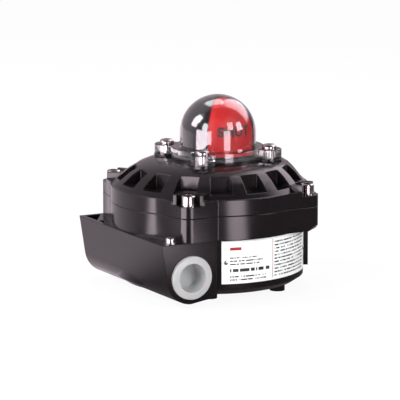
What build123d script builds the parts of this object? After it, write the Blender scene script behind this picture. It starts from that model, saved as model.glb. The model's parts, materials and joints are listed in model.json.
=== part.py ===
from build123d import *
import os
from math import cos, pi, radians, sin, sqrt

# Valve limit switch box, in millimetres.
# The origin is on the shaft axis in the plane of the mounting feet, +Z up.
# The nameplate faces -Y and the conduit block runs along Y on the -X side.

os.makedirs("parts", exist_ok=True)

# ---------------------------------------------------------------- driving dimensions

HOUSING_X = -7.0            # the round housing's centre, measured from the shaft axis
BOLT_X = 48.5               # half spacing of the cover bolts about the housing centre
BOLT_Y = 58.0
LUG_R = 8.0
LUG_BEVEL = 4.0
FLANGE_R = 72.0             # round flange that the cover and the body share
WALL_R = 68.5               # recessed wall below the flange, which carries the nameplate
CAVITY_R = 60.0
FLAT_X = 29.3               # where the front and rear flats meet the round flange
SIDE_FLAT = (62.0, 36.6)    # where the slanting side flats meet the round flange

FOOT_TOP = 6.5              # underside of the body, above the feet
FLOOR_Z = 12.0              # inner floor
FLANGE_Z = 47.0             # underside of the body's flange
SPLIT_Z = 64.5              # parting plane
COVER_EDGE_Z = 76.0         # top of the cover's straight wall
BOLT_SEAT_Z = 73.0
BOLT_R = 3.0                # M6 cover bolts
BOLT_HOLE_DEPTH = 14.0
PAD_Z = 95.5                # dome seat on top of the cover

RIB_ANGLE = 30.0            # ribs on the wall, measured from the +X side
RIB_W = 5.0
RIB_LOW_Z = 16.0

FOOT_X = 28.0               # half spacing of the tapped feet about the shaft axis
FOOT_Y = 39.0
FOOT_R = 5.5
TAP_R = 2.5                 # tapping drill of an M6 thread
FOOT_TAP_DEPTH = 14.0

BLOCK_X = -50.0 + HOUSING_X     # conduit axis
BLOCK_Z = 22.5
BLOCK_R = 19.2
BLOCK_END_Y = 65.0
BLOCK_TOP_Z = 47.4
BLOCK_DRAFT = 9.0           # degrees that the outer face leans out
ENTRY_R = 13.2              # 3/4 inch conduit entry
ENTRY_DEPTH = 16.0
PASSAGE_R = 11.5
WINDOW_W = 30.0             # opening between the passage and the cavity
WINDOW_L = 76.0
CORE_WALL = 3.0             # cored pockets in the block's top
CORE_W = 13.0
CORE_L = 20.0
CORE_DEPTH = 9.0

GROOVE_R = 64.0             # cover seal
GROOVE_W = 3.0
GROOVE_DEPTH = 2.6
DOME_GROOVE_R = 30.2
DOME_GROOVE_DEPTH = 2.2

SHAFT_R = 6.0
SHAFT_END_Z = 1.0
RUNNING_GAP = 0.05
BUSH_R = 9.0
BUSH_LIP_R = 6.6
LOWER_BOSS_R = 16.0
LOWER_BOSS_Z = 24.0
UPPER_NECK_R = 14.0
UPPER_NECK_Z = 79.0
LIP_T = 2.0
ORING_R = 1.4

DOME_R = 27.8
DOME_WALL = 1.5
DOME_CENTRE_Z = 112.8
DOME_FLANGE_T = 7.4
DOME_FLANGE_R = 34.0
DOME_LUG_R = 9.0
DOME_SCREW = 27.4           # half spacing of the dome screws
MASK_R = 25.9
ROTOR_R = 24.3
SHELL_T = 1.2

M3_CLEARANCE_R = 1.75
CROSS_L = 3.4               # cross recess of the small screws
CROSS_W = 0.8

SWITCH_FACE_X = 27.0        # front face of the switches, towards the shaft
SWITCH_DEPTH = 16.0
SWITCH_Y = (-9.0, 19.0)
SWITCH_T = 10.0
SWITCH_Z = (28.0, 42.0)     # undersides of the lower and the upper switch
SWITCH_HOLE_X = 38.0
SWITCH_HOLE_Y = (-6.1, 16.1)
LEVER_PIVOT = (25.4, 15.0)
LEVER_SWING = 8.0           # degrees of lever travel in a quarter turn of the shaft
LEVER_TIP_R = 1.6
PLUNGER_Y = 8.0
PLUNGER_R = 1.2
CAM_LOW_R = 19.0
CAM_GAP = 0.25
CAM_T = 7.0

PLATE_SCREWS = [(48.0, -5.0), (42.0, 24.0)]
STRIP_X = -38.0
STRIP_SCREWS = [(STRIP_X, -36.0), (STRIP_X, 36.0)]
PILLAR_R = 4.0
PILLAR_HOLE_R = 1.7
PILLAR_HOLE_DEPTH = 9.0
EARTH_POINT = (HOUSING_X - 63.5, -59.0)
INNER_EARTH_POINT = (HOUSING_X + 2, 46)

BOLT_CENTRES = [(HOUSING_X + sx * BOLT_X, sy * BOLT_Y) for sx in (-1, 1) for sy in (-1, 1)]
FEET = [(sx * FOOT_X, sy * FOOT_Y) for sx in (-1, 1) for sy in (-1, 1)]
DOME_SCREWS = [(sx * DOME_SCREW, sy * DOME_SCREW) for sx in (-1, 1) for sy in (-1, 1)]


def save(piece, node):
    """Label one finished piece and write it as its own STEP file."""
    piece.part.label = node
    export_step(piece.part, "parts/" + node + ".step")


def flange_outline():
    """Sketch of the flange: the round, the flats and the four bolt lugs."""
    with BuildSketch() as outline:
        with Locations((HOUSING_X, 0)):
            Circle(FLANGE_R)
            Rectangle(2 * BOLT_X, 2 * (BOLT_Y + LUG_R))
            with GridLocations(2 * BOLT_X, 2 * BOLT_Y, 2, 2):
                Circle(LUG_R)
        with BuildLine():
            Polyline(
                [
                    (HOUSING_X - BOLT_X - LUG_R, -BOLT_Y),
                    (HOUSING_X - SIDE_FLAT[0], -SIDE_FLAT[1]),
                    (HOUSING_X - SIDE_FLAT[0], SIDE_FLAT[1]),
                    (HOUSING_X - BOLT_X - LUG_R, BOLT_Y),
                    (HOUSING_X + BOLT_X + LUG_R, BOLT_Y),
                    (HOUSING_X + SIDE_FLAT[0], SIDE_FLAT[1]),
                    (HOUSING_X + SIDE_FLAT[0], -SIDE_FLAT[1]),
                    (HOUSING_X + BOLT_X + LUG_R, -BOLT_Y),
                ],
                close=True,
            )
        make_face()
    return outline.sketch


def ring(z, height, outer, inner, x=0.0, y=0.0):
    """Extrude a flat ring into the part that is being built."""
    with BuildSketch(Plane.XY.offset(z)) as section:
        with Locations((x, y)):
            Circle(outer)
            Circle(inner, mode=Mode.SUBTRACT)
    extrude(section.sketch, amount=height)


# ---------------------------------------------------------------- body

FLANGE = flange_outline()

draft = radians(BLOCK_DRAFT)
face_tangent = (BLOCK_X - BLOCK_R * cos(draft), BLOCK_Z - BLOCK_R * sin(draft))
face_top_x = face_tangent[0] - (BLOCK_TOP_Z - face_tangent[1]) * sin(draft) / cos(draft)
block_inner_x = HOUSING_X - FLAT_X

with BuildPart() as body:
    # recessed round wall, with a rounded lower edge
    with BuildSketch(Plane.XY.offset(FOOT_TOP)):
        with Locations((HOUSING_X, 0)):
            Circle(WALL_R)
    extrude(amount=FLANGE_Z - FOOT_TOP)
    chamfer(body.faces().sort_by(Axis.Z)[0].edges(), 4.0, 6.0)
    # flange
    with BuildSketch(Plane.XY.offset(FLANGE_Z)):
        add(FLANGE)
    extrude(amount=SPLIT_Z - FLANGE_Z)
    # conduit block: a leaning outer face that runs into a round underside
    with BuildSketch(Plane.XZ.offset(-BLOCK_END_Y)):
        with BuildLine():
            Line((block_inner_x, BLOCK_TOP_Z), (face_top_x, BLOCK_TOP_Z))
            Line((face_top_x, BLOCK_TOP_Z), face_tangent)
            ThreePointArc(
                face_tangent,
                (BLOCK_X - BLOCK_R * sin(pi / 6), BLOCK_Z - BLOCK_R * cos(pi / 6)),
                (BLOCK_X, BLOCK_Z - BLOCK_R),
            )
            Line((BLOCK_X, BLOCK_Z - BLOCK_R), (block_inner_x, FOOT_TOP))
            Line((block_inner_x, FOOT_TOP), (block_inner_x, BLOCK_TOP_Z))
        make_face()
    extrude(amount=2 * BLOCK_END_Y)
    # upright ribs on the wall, beside the nameplate and mirrored at the rear
    with BuildSketch(Plane.XY.offset(RIB_LOW_Z)):
        for rib_angle in (-RIB_ANGLE, RIB_ANGLE):
            with Locations(Location((HOUSING_X, 0, 0), rib_angle)):
                with Locations((FLANGE_R - 6, 0)):
                    Rectangle(12, RIB_W)
    extrude(amount=FLANGE_Z - RIB_LOW_Z)
    # feet
    with BuildSketch():
        with Locations(FEET):
            Circle(FOOT_R)
    extrude(amount=FLOOR_Z)
    # cavity and the passage to the conduit block
    with BuildSketch(Plane.XY.offset(FLOOR_Z)):
        with Locations((HOUSING_X, 0)):
            Circle(CAVITY_R)
    extrude(amount=SPLIT_Z - FLOOR_Z, mode=Mode.SUBTRACT)
    # conduit passage, its two entries and the window into the cavity
    with BuildSketch(Plane.XZ.offset(-BLOCK_END_Y)):
        with Locations((BLOCK_X, BLOCK_Z)):
            Circle(PASSAGE_R)
    extrude(amount=2 * BLOCK_END_Y, mode=Mode.SUBTRACT)
    for entry_y in (ENTRY_DEPTH - BLOCK_END_Y, BLOCK_END_Y):
        with BuildSketch(Plane.XZ.offset(-entry_y)):
            with Locations((BLOCK_X, BLOCK_Z)):
                Circle(ENTRY_R)
        extrude(amount=ENTRY_DEPTH, mode=Mode.SUBTRACT)
    with BuildSketch(Plane.XY.offset(FLOOR_Z)):
        with Locations((BLOCK_X + WINDOW_W / 2, 0)):
            Rectangle(WINDOW_W, WINDOW_L)
    extrude(amount=BLOCK_Z + PASSAGE_R - FLOOR_Z, mode=Mode.SUBTRACT)
    # cored pockets in the block's top, at its rear end
    with BuildSketch(Plane.XY.offset(BLOCK_TOP_Z)):
        with Locations((face_top_x + CORE_WALL, BLOCK_END_Y - CORE_WALL)):
            Polygon((0, 0), (CORE_W, 0), (0, -CORE_L), align=None)
            Polygon((0, -CORE_L - 2), (0, -CORE_L - 14), (4, -CORE_L - 2), align=None)
    extrude(amount=-CORE_DEPTH, mode=Mode.SUBTRACT)
    # bevelled undersides of the two lugs that stand free of the block
    lug_reach = sqrt(BOLT_X**2 + BOLT_Y**2) + LUG_R
    for side in (-1, 1):
        across = Vector(BOLT_X, side * BOLT_Y).normalized()
        lug_plane = Plane((HOUSING_X, 0, FLANGE_Z), x_dir=across, z_dir=across.cross(Vector(0, 0, 1)))
        with BuildSketch(lug_plane):
            bevel_points = [(lug_reach - LUG_BEVEL, 0), (lug_reach + 1, 0), (lug_reach + 1, LUG_BEVEL + 1)]
            Polygon(*bevel_points, align=None)
        extrude(amount=2 * LUG_R, both=True, mode=Mode.SUBTRACT)
    # inner bosses for the feet, the shaft, the switch plate and the terminal strip
    with BuildSketch(Plane.XY.offset(FOOT_TOP)):
        with Locations(FEET):
            Circle(FOOT_R + 1.5)
    extrude(amount=FOOT_TAP_DEPTH + 3 - FOOT_TOP)
    with BuildSketch(Plane.XY.offset(FOOT_TOP)):
        Circle(LOWER_BOSS_R)
    extrude(amount=LOWER_BOSS_Z - FOOT_TOP)
    with BuildSketch(Plane.XY.offset(FLOOR_Z)):
        with Locations(PLATE_SCREWS + STRIP_SCREWS):
            Circle(PILLAR_R)
    extrude(amount=LOWER_BOSS_Z - FLOOR_Z)
    with Locations([(x, y, LOWER_BOSS_Z) for x, y in PLATE_SCREWS + STRIP_SCREWS]):
        Hole(PILLAR_HOLE_R, depth=PILLAR_HOLE_DEPTH)
    # bearing bore with a lip under the seal
    with Locations((0, 0, LOWER_BOSS_Z)):
        CounterBoreHole(BUSH_LIP_R, BUSH_R, LOWER_BOSS_Z - FOOT_TOP - LIP_T)
    # tapped holes
    with BuildSketch():
        with Locations(FEET):
            Circle(TAP_R)
    extrude(amount=FOOT_TAP_DEPTH, mode=Mode.SUBTRACT)
    with BuildSketch(Plane.XY.offset(SPLIT_Z)):
        with Locations(BOLT_CENTRES):
            Circle(BOLT_R + RUNNING_GAP)
    extrude(amount=-BOLT_HOLE_DEPTH, mode=Mode.SUBTRACT)
    # seal groove
    with BuildSketch(Plane.XY.offset(SPLIT_Z)):
        with Locations((HOUSING_X, 0)):
            Circle(GROOVE_R + GROOVE_W / 2)
            Circle(GROOVE_R - GROOVE_W / 2, mode=Mode.SUBTRACT)
    extrude(amount=-GROOVE_DEPTH, mode=Mode.SUBTRACT)
    # earth screw holes
    with Locations((*EARTH_POINT, BLOCK_TOP_Z)):
        Hole(2.05, depth=5)
    with Locations((*INNER_EARTH_POINT, FLOOR_Z)):
        Hole(2.05, depth=3.5)
save(body, "body")

# ---------------------------------------------------------------- cover

CONE = [  # height, radius and shift of the centre towards the shaft axis
    (COVER_EDGE_Z, 70.6, 0.0),
    (81.0, 66.0, 1.0),
    (86.0, 61.0, 2.0),
    (90.0, 55.5, 3.5),
    (92.5, 50.0, 5.0),
    (94.0, 44.0, 6.5),
]
POCKET_COUNT = 16
POCKET_BACK_R = 54.5
POCKET_FLOOR_Z = 79.0
POCKET_SHIFT = 2.0
POCKET_BACK_W = 14.0
POCKET_MOUTH_W = 19.0
WELL_R = 8.5
BOSS_R = 11.0
BOSS_TOP_Z = 80.5
BOLT_HOLE_R = 3.3
SPIGOT_DEPTH = 3.0

with BuildPart() as cover:
    with BuildSketch(Plane.XY.offset(SPLIT_Z)):
        add(FLANGE)
    extrude(amount=COVER_EDGE_Z - SPLIT_Z)
    for z, radius, shift in CONE:
        with BuildSketch(Plane.XY.offset(z)):
            with Locations((HOUSING_X + shift, 0)):
                Circle(radius)
    loft(ruled=True)
    # radial pockets between ribs, with upright back walls
    with BuildSketch(Plane.XY.offset(POCKET_FLOOR_Z)):
        with Locations((HOUSING_X + POCKET_SHIFT, 0)):
            with PolarLocations(0, POCKET_COUNT):
                Polygon(
                    (POCKET_BACK_R, -POCKET_BACK_W / 2),
                    (80, -POCKET_MOUTH_W / 2),
                    (80, POCKET_MOUTH_W / 2),
                    (POCKET_BACK_R, POCKET_BACK_W / 2),
                    align=None,
                )
    extrude(amount=20, mode=Mode.SUBTRACT)
    # bolt bosses, each joined to the cone by a web
    for bolt_x, bolt_y in BOLT_CENTRES:
        inward = Vector(HOUSING_X - bolt_x, -bolt_y).normalized()
        with BuildSketch(Plane.XY.offset(BOLT_SEAT_Z)):
            with Locations((bolt_x, bolt_y)):
                Circle(BOSS_R)
            with BuildLine():
                side = Vector(-inward.Y, inward.X) * BOSS_R
                start = Vector(bolt_x, bolt_y)
                end = start + inward * 16
                Polyline(start + side, end + side, end - side, start - side, close=True)
            make_face()
        extrude(amount=BOSS_TOP_Z - BOLT_SEAT_Z)
    # seat pad of the dome: a disc with four lobes
    with BuildSketch(Plane.XY.offset(89)):
        Circle(DOME_FLANGE_R)
        with Locations(DOME_SCREWS):
            Circle(DOME_LUG_R + 0.4)
    extrude(amount=PAD_Z - 89)
    # wells around the bolt heads, open to the outside
    with BuildSketch(Plane.XY.offset(BOLT_SEAT_Z)):
        with Locations(BOLT_CENTRES):
            Circle(WELL_R)
    extrude(amount=30, mode=Mode.SUBTRACT)
    # hollow inside
    with BuildSketch(Plane.XY.offset(SPLIT_Z)):
        with Locations((HOUSING_X, 0)):
            Circle(CAVITY_R)
    extrude(amount=8.5, mode=Mode.SUBTRACT)
    with BuildSketch(Plane.XY.offset(SPLIT_Z + 8.5)):
        with Locations((HOUSING_X, 0)):
            Circle(CAVITY_R - 1)
    with BuildSketch(Plane.XY.offset(75.0)):
        with Locations((HOUSING_X + 1, 0)):
            Circle(50.5)
    with BuildSketch(Plane.XY.offset(88.0)):
        with Locations((HOUSING_X + 3, 0)):
            Circle(44)
    loft(ruled=True, mode=Mode.SUBTRACT)
    ring(SPLIT_Z - SPIGOT_DEPTH, SPIGOT_DEPTH + 2, CAVITY_R - 0.2, CAVITY_R - 3, HOUSING_X)
    ring(SPLIT_Z, 2, CAVITY_R + 1, CAVITY_R - 3, HOUSING_X)
    # neck for the upper bearing
    with BuildSketch(Plane.XY.offset(UPPER_NECK_Z)):
        Circle(UPPER_NECK_R)
    extrude(amount=10)
    with Locations((0, 0, PAD_Z)):
        CounterBoreHole(BUSH_LIP_R, BUSH_R, PAD_Z - UPPER_NECK_Z - LIP_T)
    with Locations([(x, y, BOLT_SEAT_Z) for x, y in BOLT_CENTRES]):
        Hole(BOLT_HOLE_R, depth=20)
    with Locations([(x, y, PAD_Z) for x, y in DOME_SCREWS]):
        Hole(2.55, depth=6.5)
save(cover, "cover")

# ---------------------------------------------------------------- cover fasteners and seal

WASHER_T = 1.6
HEAD_H = 5.9
HEAD_R = 5.0
HEX_R = 2.9                 # 5 mm socket, across its corners
BOLT_GRIP = 13.0            # length of thread in the body

with BuildPart() as cover_bolts:
    for bolt_x, bolt_y in BOLT_CENTRES:
        with BuildSketch(Plane.XY.offset(BOLT_SEAT_Z + WASHER_T)):
            with Locations((bolt_x, bolt_y)):
                Circle(HEAD_R)
        extrude(amount=HEAD_H)
        with BuildSketch(Plane.XY.offset(SPLIT_Z - BOLT_GRIP)):
            with Locations((bolt_x, bolt_y)):
                Circle(BOLT_R)
        extrude(amount=BOLT_SEAT_Z + WASHER_T - SPLIT_Z + BOLT_GRIP)
        with BuildSketch(Plane.XY.offset(BOLT_SEAT_Z + WASHER_T + HEAD_H)):
            with Locations((bolt_x, bolt_y)):
                RegularPolygon(HEX_R, 6)
        extrude(amount=-BOLT_R, mode=Mode.SUBTRACT)
    chamfer(cover_bolts.edges().filter_by(GeomType.CIRCLE).group_by(Axis.Z)[-1], 0.6)
save(cover_bolts, "cover_bolts")

with BuildPart() as cover_spring_washers:
    for bolt_x, bolt_y in BOLT_CENTRES:
        ring(BOLT_SEAT_Z, WASHER_T, 5.2, 3.1, bolt_x, bolt_y)
    with BuildSketch(Plane.XY.offset(BOLT_SEAT_Z)):
        with Locations([(x + 4.2, y) for x, y in BOLT_CENTRES]):
            Rectangle(4, 0.8, rotation=20)
    extrude(amount=WASHER_T, mode=Mode.SUBTRACT)
save(cover_spring_washers, "cover_spring_washers")

with BuildPart() as cover_seal:
    ring(SPLIT_Z - GROOVE_DEPTH, GROOVE_DEPTH, GROOVE_R + GROOVE_W / 2, GROOVE_R - GROOVE_W / 2, HOUSING_X)
    chamfer(cover_seal.edges(), 0.5)
save(cover_seal, "cover_seal")

# ---------------------------------------------------------------- indicator

DOME_FLANGE_TOP = PAD_Z + DOME_FLANGE_T
DOME_INNER_R = DOME_R - DOME_WALL

with BuildPart() as dome_lens:
    with BuildSketch(Plane.XY.offset(PAD_Z)):
        Circle(DOME_FLANGE_R)
        with Locations(DOME_SCREWS):
            Circle(DOME_LUG_R)
    extrude(amount=DOME_FLANGE_T)
    chamfer(dome_lens.edges().group_by(Axis.Z)[-1], 0.6)
    with BuildSketch(Plane.XZ):
        with BuildLine():
            Line((0, DOME_FLANGE_TOP - 2), (DOME_R, DOME_FLANGE_TOP - 2))
            Line((DOME_R, DOME_FLANGE_TOP - 2), (DOME_R, DOME_CENTRE_Z))
            RadiusArc((DOME_R, DOME_CENTRE_Z), (0, DOME_CENTRE_Z + DOME_R), -DOME_R)
            Line((0, DOME_CENTRE_Z + DOME_R), (0, DOME_FLANGE_TOP - 2))
        make_face()
    revolve(axis=Axis.Z)
    with BuildSketch(Plane.XZ):
        with BuildLine():
            Line((0, PAD_Z), (DOME_INNER_R, PAD_Z))
            Line((DOME_INNER_R, PAD_Z), (DOME_INNER_R, DOME_CENTRE_Z))
            RadiusArc((DOME_INNER_R, DOME_CENTRE_Z), (0, DOME_CENTRE_Z + DOME_INNER_R), -DOME_INNER_R)
            Line((0, DOME_CENTRE_Z + DOME_INNER_R), (0, PAD_Z))
        make_face()
    revolve(axis=Axis.Z, mode=Mode.SUBTRACT)
    with BuildSketch(Plane.XY.offset(PAD_Z)):
        Circle(DOME_GROOVE_R + 1.2)
        Circle(DOME_GROOVE_R - 1.2, mode=Mode.SUBTRACT)
    extrude(amount=DOME_GROOVE_DEPTH, mode=Mode.SUBTRACT)
    with Locations([(x, y, DOME_FLANGE_TOP) for x, y in DOME_SCREWS]):
        Hole(2.8, depth=20)
save(dome_lens, "dome_lens")

with BuildPart() as dome_seal:
    ring(PAD_Z, DOME_GROOVE_DEPTH, DOME_GROOVE_R + 1.2, DOME_GROOVE_R - 1.2)
    chamfer(dome_seal.edges(), 0.4)
save(dome_seal, "dome_seal")

with BuildPart() as dome_screws:
    for screw_x, screw_y in DOME_SCREWS:
        with BuildSketch(Plane.XY.offset(DOME_FLANGE_TOP)):
            with Locations((screw_x, screw_y)):
                Circle(5.2)
        extrude(amount=3.0)
        with BuildSketch(Plane.XY.offset(PAD_Z - 6)):
            with Locations((screw_x, screw_y)):
                Circle(2.5)
        extrude(amount=DOME_FLANGE_T + 6)
    fillet(dome_screws.edges().filter_by(GeomType.CIRCLE).group_by(Axis.Z)[-1], 2.0)
    with BuildSketch(Plane.XY.offset(DOME_FLANGE_TOP + 3)):
        with Locations(DOME_SCREWS):
            Rectangle(5, 1.2)
            Rectangle(1.2, 5)
    extrude(amount=-1.8, mode=Mode.SUBTRACT)
save(dome_screws, "dome_screws")


def shell_profile(outer, foot_z, pole_r):
    """Closed half section of a thin shell: a straight wall that runs into a ball cap."""
    inner = outer - SHELL_T
    top = DOME_CENTRE_Z + sqrt(outer * outer - pole_r * pole_r)
    low = DOME_CENTRE_Z + sqrt(inner * inner - pole_r * pole_r)
    with BuildSketch(Plane.XZ) as section:
        with BuildLine():
            Line((inner, foot_z), (outer, foot_z))
            Line((outer, foot_z), (outer, DOME_CENTRE_Z))
            RadiusArc((outer, DOME_CENTRE_Z), (pole_r, top), -outer)
            Line((pole_r, top), (pole_r, low))
            RadiusArc((pole_r, low), (inner, DOME_CENTRE_Z), inner)
            Line((inner, DOME_CENTRE_Z), (inner, foot_z))
        make_face()
    return section.sketch


ROTOR_Z = 98.4
HUB_T = 2.0
POLE_R = 4.0
WINDOW_FOOT_Z = 99.0
WEDGE = 40.0                # reach of the quarter wedges, clear of the shells
VANE_REACH = WEDGE - 0.4    # leaves the vanes a hair apart on the diagonals

with BuildPart() as indicator_mask:
    add(shell_profile(MASK_R, PAD_Z, 0.6))
    revolve(axis=Axis.Z)
    # two windows, each a quarter turn wide, facing front and rear
    with BuildSketch(Plane.XY.offset(WINDOW_FOOT_Z)):
        with BuildLine():
            Polyline((0, 0), (WEDGE, -WEDGE), (-WEDGE, -WEDGE), close=True)
        make_face()
        with BuildLine():
            Polyline((0, 0), (WEDGE, WEDGE), (-WEDGE, WEDGE), close=True)
        make_face()
        Circle(POLE_R, mode=Mode.SUBTRACT)
    extrude(amount=50, mode=Mode.SUBTRACT)
    # foot ring
    ring(PAD_Z, 2.0, MASK_R, MASK_R - 5)
save(indicator_mask, "indicator_mask")


def vane_pair(turn):
    """Two opposite quarter shells of the rotor, split on the diagonals."""
    with BuildPart() as pair:
        add(shell_profile(ROTOR_R, ROTOR_Z, POLE_R))
        revolve(axis=Axis.Z)
        with BuildSketch(Plane.XY.offset(ROTOR_Z)):
            with BuildLine():
                Polyline((0, 0), (VANE_REACH, -WEDGE), (-VANE_REACH, -WEDGE), close=True)
            make_face()
            with BuildLine():
                Polyline((0, 0), (VANE_REACH, WEDGE), (-VANE_REACH, WEDGE), close=True)
            make_face()
        extrude(amount=60, mode=Mode.INTERSECT)
    return pair.part.rotate(Axis.Z, turn)


with BuildPart() as closed_vanes:
    add(vane_pair(0))
save(closed_vanes, "closed_vanes")

with BuildPart() as open_vanes:
    add(vane_pair(90))
save(open_vanes, "open_vanes")

with BuildPart() as indicator_rotor:
    with BuildSketch(Plane.XY.offset(ROTOR_Z)):
        Circle(ROTOR_R - SHELL_T)
    extrude(amount=HUB_T)
    with BuildSketch(Plane.XY.offset(ROTOR_Z + HUB_T)):
        Circle(8)
    extrude(amount=3)
    with Locations((0, 0, ROTOR_Z + HUB_T + 3)):
        Hole(2.1, depth=20)
save(indicator_rotor, "indicator_rotor")

with BuildPart() as indicator_screw:
    with BuildSketch(Plane.XY.offset(ROTOR_Z + HUB_T + 3)):
        Circle(3.8)
    extrude(amount=2.4)
    with BuildSketch(Plane.XY.offset(88)):
        Circle(2.0)
    extrude(amount=ROTOR_Z + HUB_T + 3 - 88)
    with BuildSketch(Plane.XY.offset(ROTOR_Z + HUB_T + 5.4)):
        Rectangle(8, 1.0)
    extrude(amount=-1.2, mode=Mode.SUBTRACT)
save(indicator_screw, "indicator_screw")

# ---------------------------------------------------------------- shaft and bearings

SHAFT_TOP_Z = ROTOR_Z
RETAINER_Z = LOWER_BOSS_Z + 0.5
RETAINER_T = 1.2
SEAL_H = 2.0 * ORING_R

with BuildPart() as shaft:
    with BuildSketch(Plane.XY.offset(SHAFT_END_Z)):
        Circle(SHAFT_R)
    extrude(amount=SHAFT_TOP_Z - SHAFT_END_Z)
    chamfer(shaft.edges().filter_by(GeomType.CIRCLE).sort_by(Axis.Z)[0], 0.6)
    # drive slot across the lower end
    with BuildSketch(Plane.XY.offset(SHAFT_END_Z)):
        Rectangle(20, 4)
    extrude(amount=4, mode=Mode.SUBTRACT)
    # groove of the retaining ring
    with BuildSketch(Plane.XY.offset(RETAINER_Z)):
        Circle(SHAFT_R + 1)
        Circle(SHAFT_R - 0.6, mode=Mode.SUBTRACT)
    extrude(amount=RETAINER_T, mode=Mode.SUBTRACT)
    with Locations((0, 0, SHAFT_TOP_Z)):
        Hole(2.05, depth=11)
save(shaft, "shaft")

with BuildPart() as retaining_ring:
    with BuildSketch(Plane.XY.offset(RETAINER_Z)):
        Circle(8.2)
        Circle(SHAFT_R - 0.6, mode=Mode.SUBTRACT)
        with Locations((7, 0)):
            Rectangle(8, 5, mode=Mode.SUBTRACT)
    extrude(amount=RETAINER_T)
save(retaining_ring, "retaining_ring")

LOWER_BUSH_Z = FOOT_TOP + LIP_T + SEAL_H + 0.2      # a little clearance over the seal
UPPER_BUSH_Z = UPPER_NECK_Z + LIP_T + SEAL_H + 0.2

with BuildPart() as lower_bush:
    ring(LOWER_BUSH_Z, LOWER_BOSS_Z - LOWER_BUSH_Z, BUSH_R, SHAFT_R + RUNNING_GAP)
save(lower_bush, "lower_bush")

with BuildPart() as upper_bush:
    ring(UPPER_BUSH_Z, PAD_Z - UPPER_BUSH_Z, BUSH_R, SHAFT_R + RUNNING_GAP)
save(upper_bush, "upper_bush")

SHAFT_SEAL_SEATS = {"lower_shaft_seal": FOOT_TOP + LIP_T, "upper_shaft_seal": UPPER_NECK_Z + LIP_T}
for node, seat_z in SHAFT_SEAL_SEATS.items():
    with BuildPart() as shaft_seal:
        ring(seat_z, SEAL_H, SHAFT_R + RUNNING_GAP + SEAL_H, SHAFT_R + RUNNING_GAP)
        chamfer(shaft_seal.edges(), 0.8)
    save(shaft_seal, node)

# ---------------------------------------------------------------- cams

CAM_RISE = 15.0 * sin(radians(LEVER_SWING))
CAM_HIGH_R = CAM_LOW_R + CAM_RISE
CAM_HUB_R = 10.0
CAM_HUB_Z = 28.1
CAM_HUB_TOP_Z = 52.0
CAM_STEPS = 18              # points on the rise
SPLINE_COUNT = 24           # teeth that lock the cams to their hub


def cam_point(radius, degrees):
    """Point of the cam's edge, seen from above."""
    return (radius * cos(radians(degrees)), radius * sin(radians(degrees)))


with BuildPart() as cam_hub:
    with BuildSketch(Plane.XY.offset(CAM_HUB_Z)):
        Circle(CAM_HUB_R)
        with PolarLocations(CAM_HUB_R, SPLINE_COUNT):
            Rectangle(1.2, 1.2, mode=Mode.SUBTRACT)
        Circle(SHAFT_R, mode=Mode.SUBTRACT)
    extrude(amount=CAM_HUB_TOP_Z - CAM_HUB_Z)
    ring(CAM_HUB_Z, 1.4, 13, SHAFT_R)
save(cam_hub, "cam_hub")


def cam(under_z, low_at, sense):
    """One cam disc: it rises evenly over a quarter turn from low_at, then stays high and drops back.

    sense is +1 where the rise runs anticlockwise and -1 where it runs clockwise.
    """
    rise = []
    for step in range(CAM_STEPS + 1):
        share = step / CAM_STEPS
        rise.append(cam_point(CAM_LOW_R + CAM_RISE * share, low_at + sense * 90 * share))
    high_end = cam_point(CAM_HIGH_R, low_at + sense * 150)
    low_end = cam_point(CAM_LOW_R, low_at + sense * 165)
    with BuildPart() as disc:
        with BuildSketch(Plane.XY.offset(under_z)):
            with BuildLine():
                Spline(rise)
                ThreePointArc(rise[-1], cam_point(CAM_HIGH_R, low_at + sense * 120), high_end)
                Line(high_end, low_end)
                ThreePointArc(low_end, cam_point(CAM_LOW_R, low_at + sense * 260), rise[0])
            make_face()
            Circle(CAM_HUB_R, mode=Mode.SUBTRACT)
        extrude(amount=CAM_T)
        with BuildSketch(Plane.XY.offset(under_z)):
            with PolarLocations(CAM_HUB_R - 0.15, SPLINE_COUNT):
                Rectangle(0.8, 1.0)
        extrude(amount=CAM_T)
    return disc


CAM_CLOSED_Z = SWITCH_Z[0] + 1.5
CAM_OPEN_Z = SWITCH_Z[1] + 1.5
save(cam(CAM_CLOSED_Z, -90, 1), "cam_closed")
save(cam(CAM_OPEN_Z, 0, -1), "cam_open")

with BuildPart() as cam_spring:
    spring_z = CAM_CLOSED_Z + CAM_T + RUNNING_GAP
    ring(spring_z, CAM_OPEN_Z - RUNNING_GAP - spring_z, CAM_HUB_R + 2.4, CAM_HUB_R + 0.4)
save(cam_spring, "cam_spring")

# ---------------------------------------------------------------- switches and their plate

PLATE_T = 2.0
PLATE_Z = LOWER_BOSS_Z
SWITCH_SCREW_R = 1.5
LEVER_T = 0.6
LEVER_W = 4.0
EAR_T = 1.0
PIN_R = 0.5
TIP_X = CAM_HIGH_R + CAM_GAP + LEVER_TIP_R
PLUNGER_TRAVEL = (LEVER_PIVOT[1] - PLUNGER_Y) * sin(radians(LEVER_SWING))

with BuildPart() as switch_plate:
    with BuildSketch(Plane.XY.offset(PLATE_Z)):
        with BuildLine():
            Polyline((28, -13), (48, -11), (53, -3), (50, 14), (46, 28), (36, 28), (28, 22), close=True)
        make_face()
        with Locations(PLATE_SCREWS):
            Circle(M3_CLEARANCE_R, mode=Mode.SUBTRACT)
        with Locations([(SWITCH_HOLE_X, y) for y in SWITCH_HOLE_Y]):
            Circle(SWITCH_SCREW_R + 0.02, mode=Mode.SUBTRACT)
    extrude(amount=PLATE_T)
save(switch_plate, "switch_plate")

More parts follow.
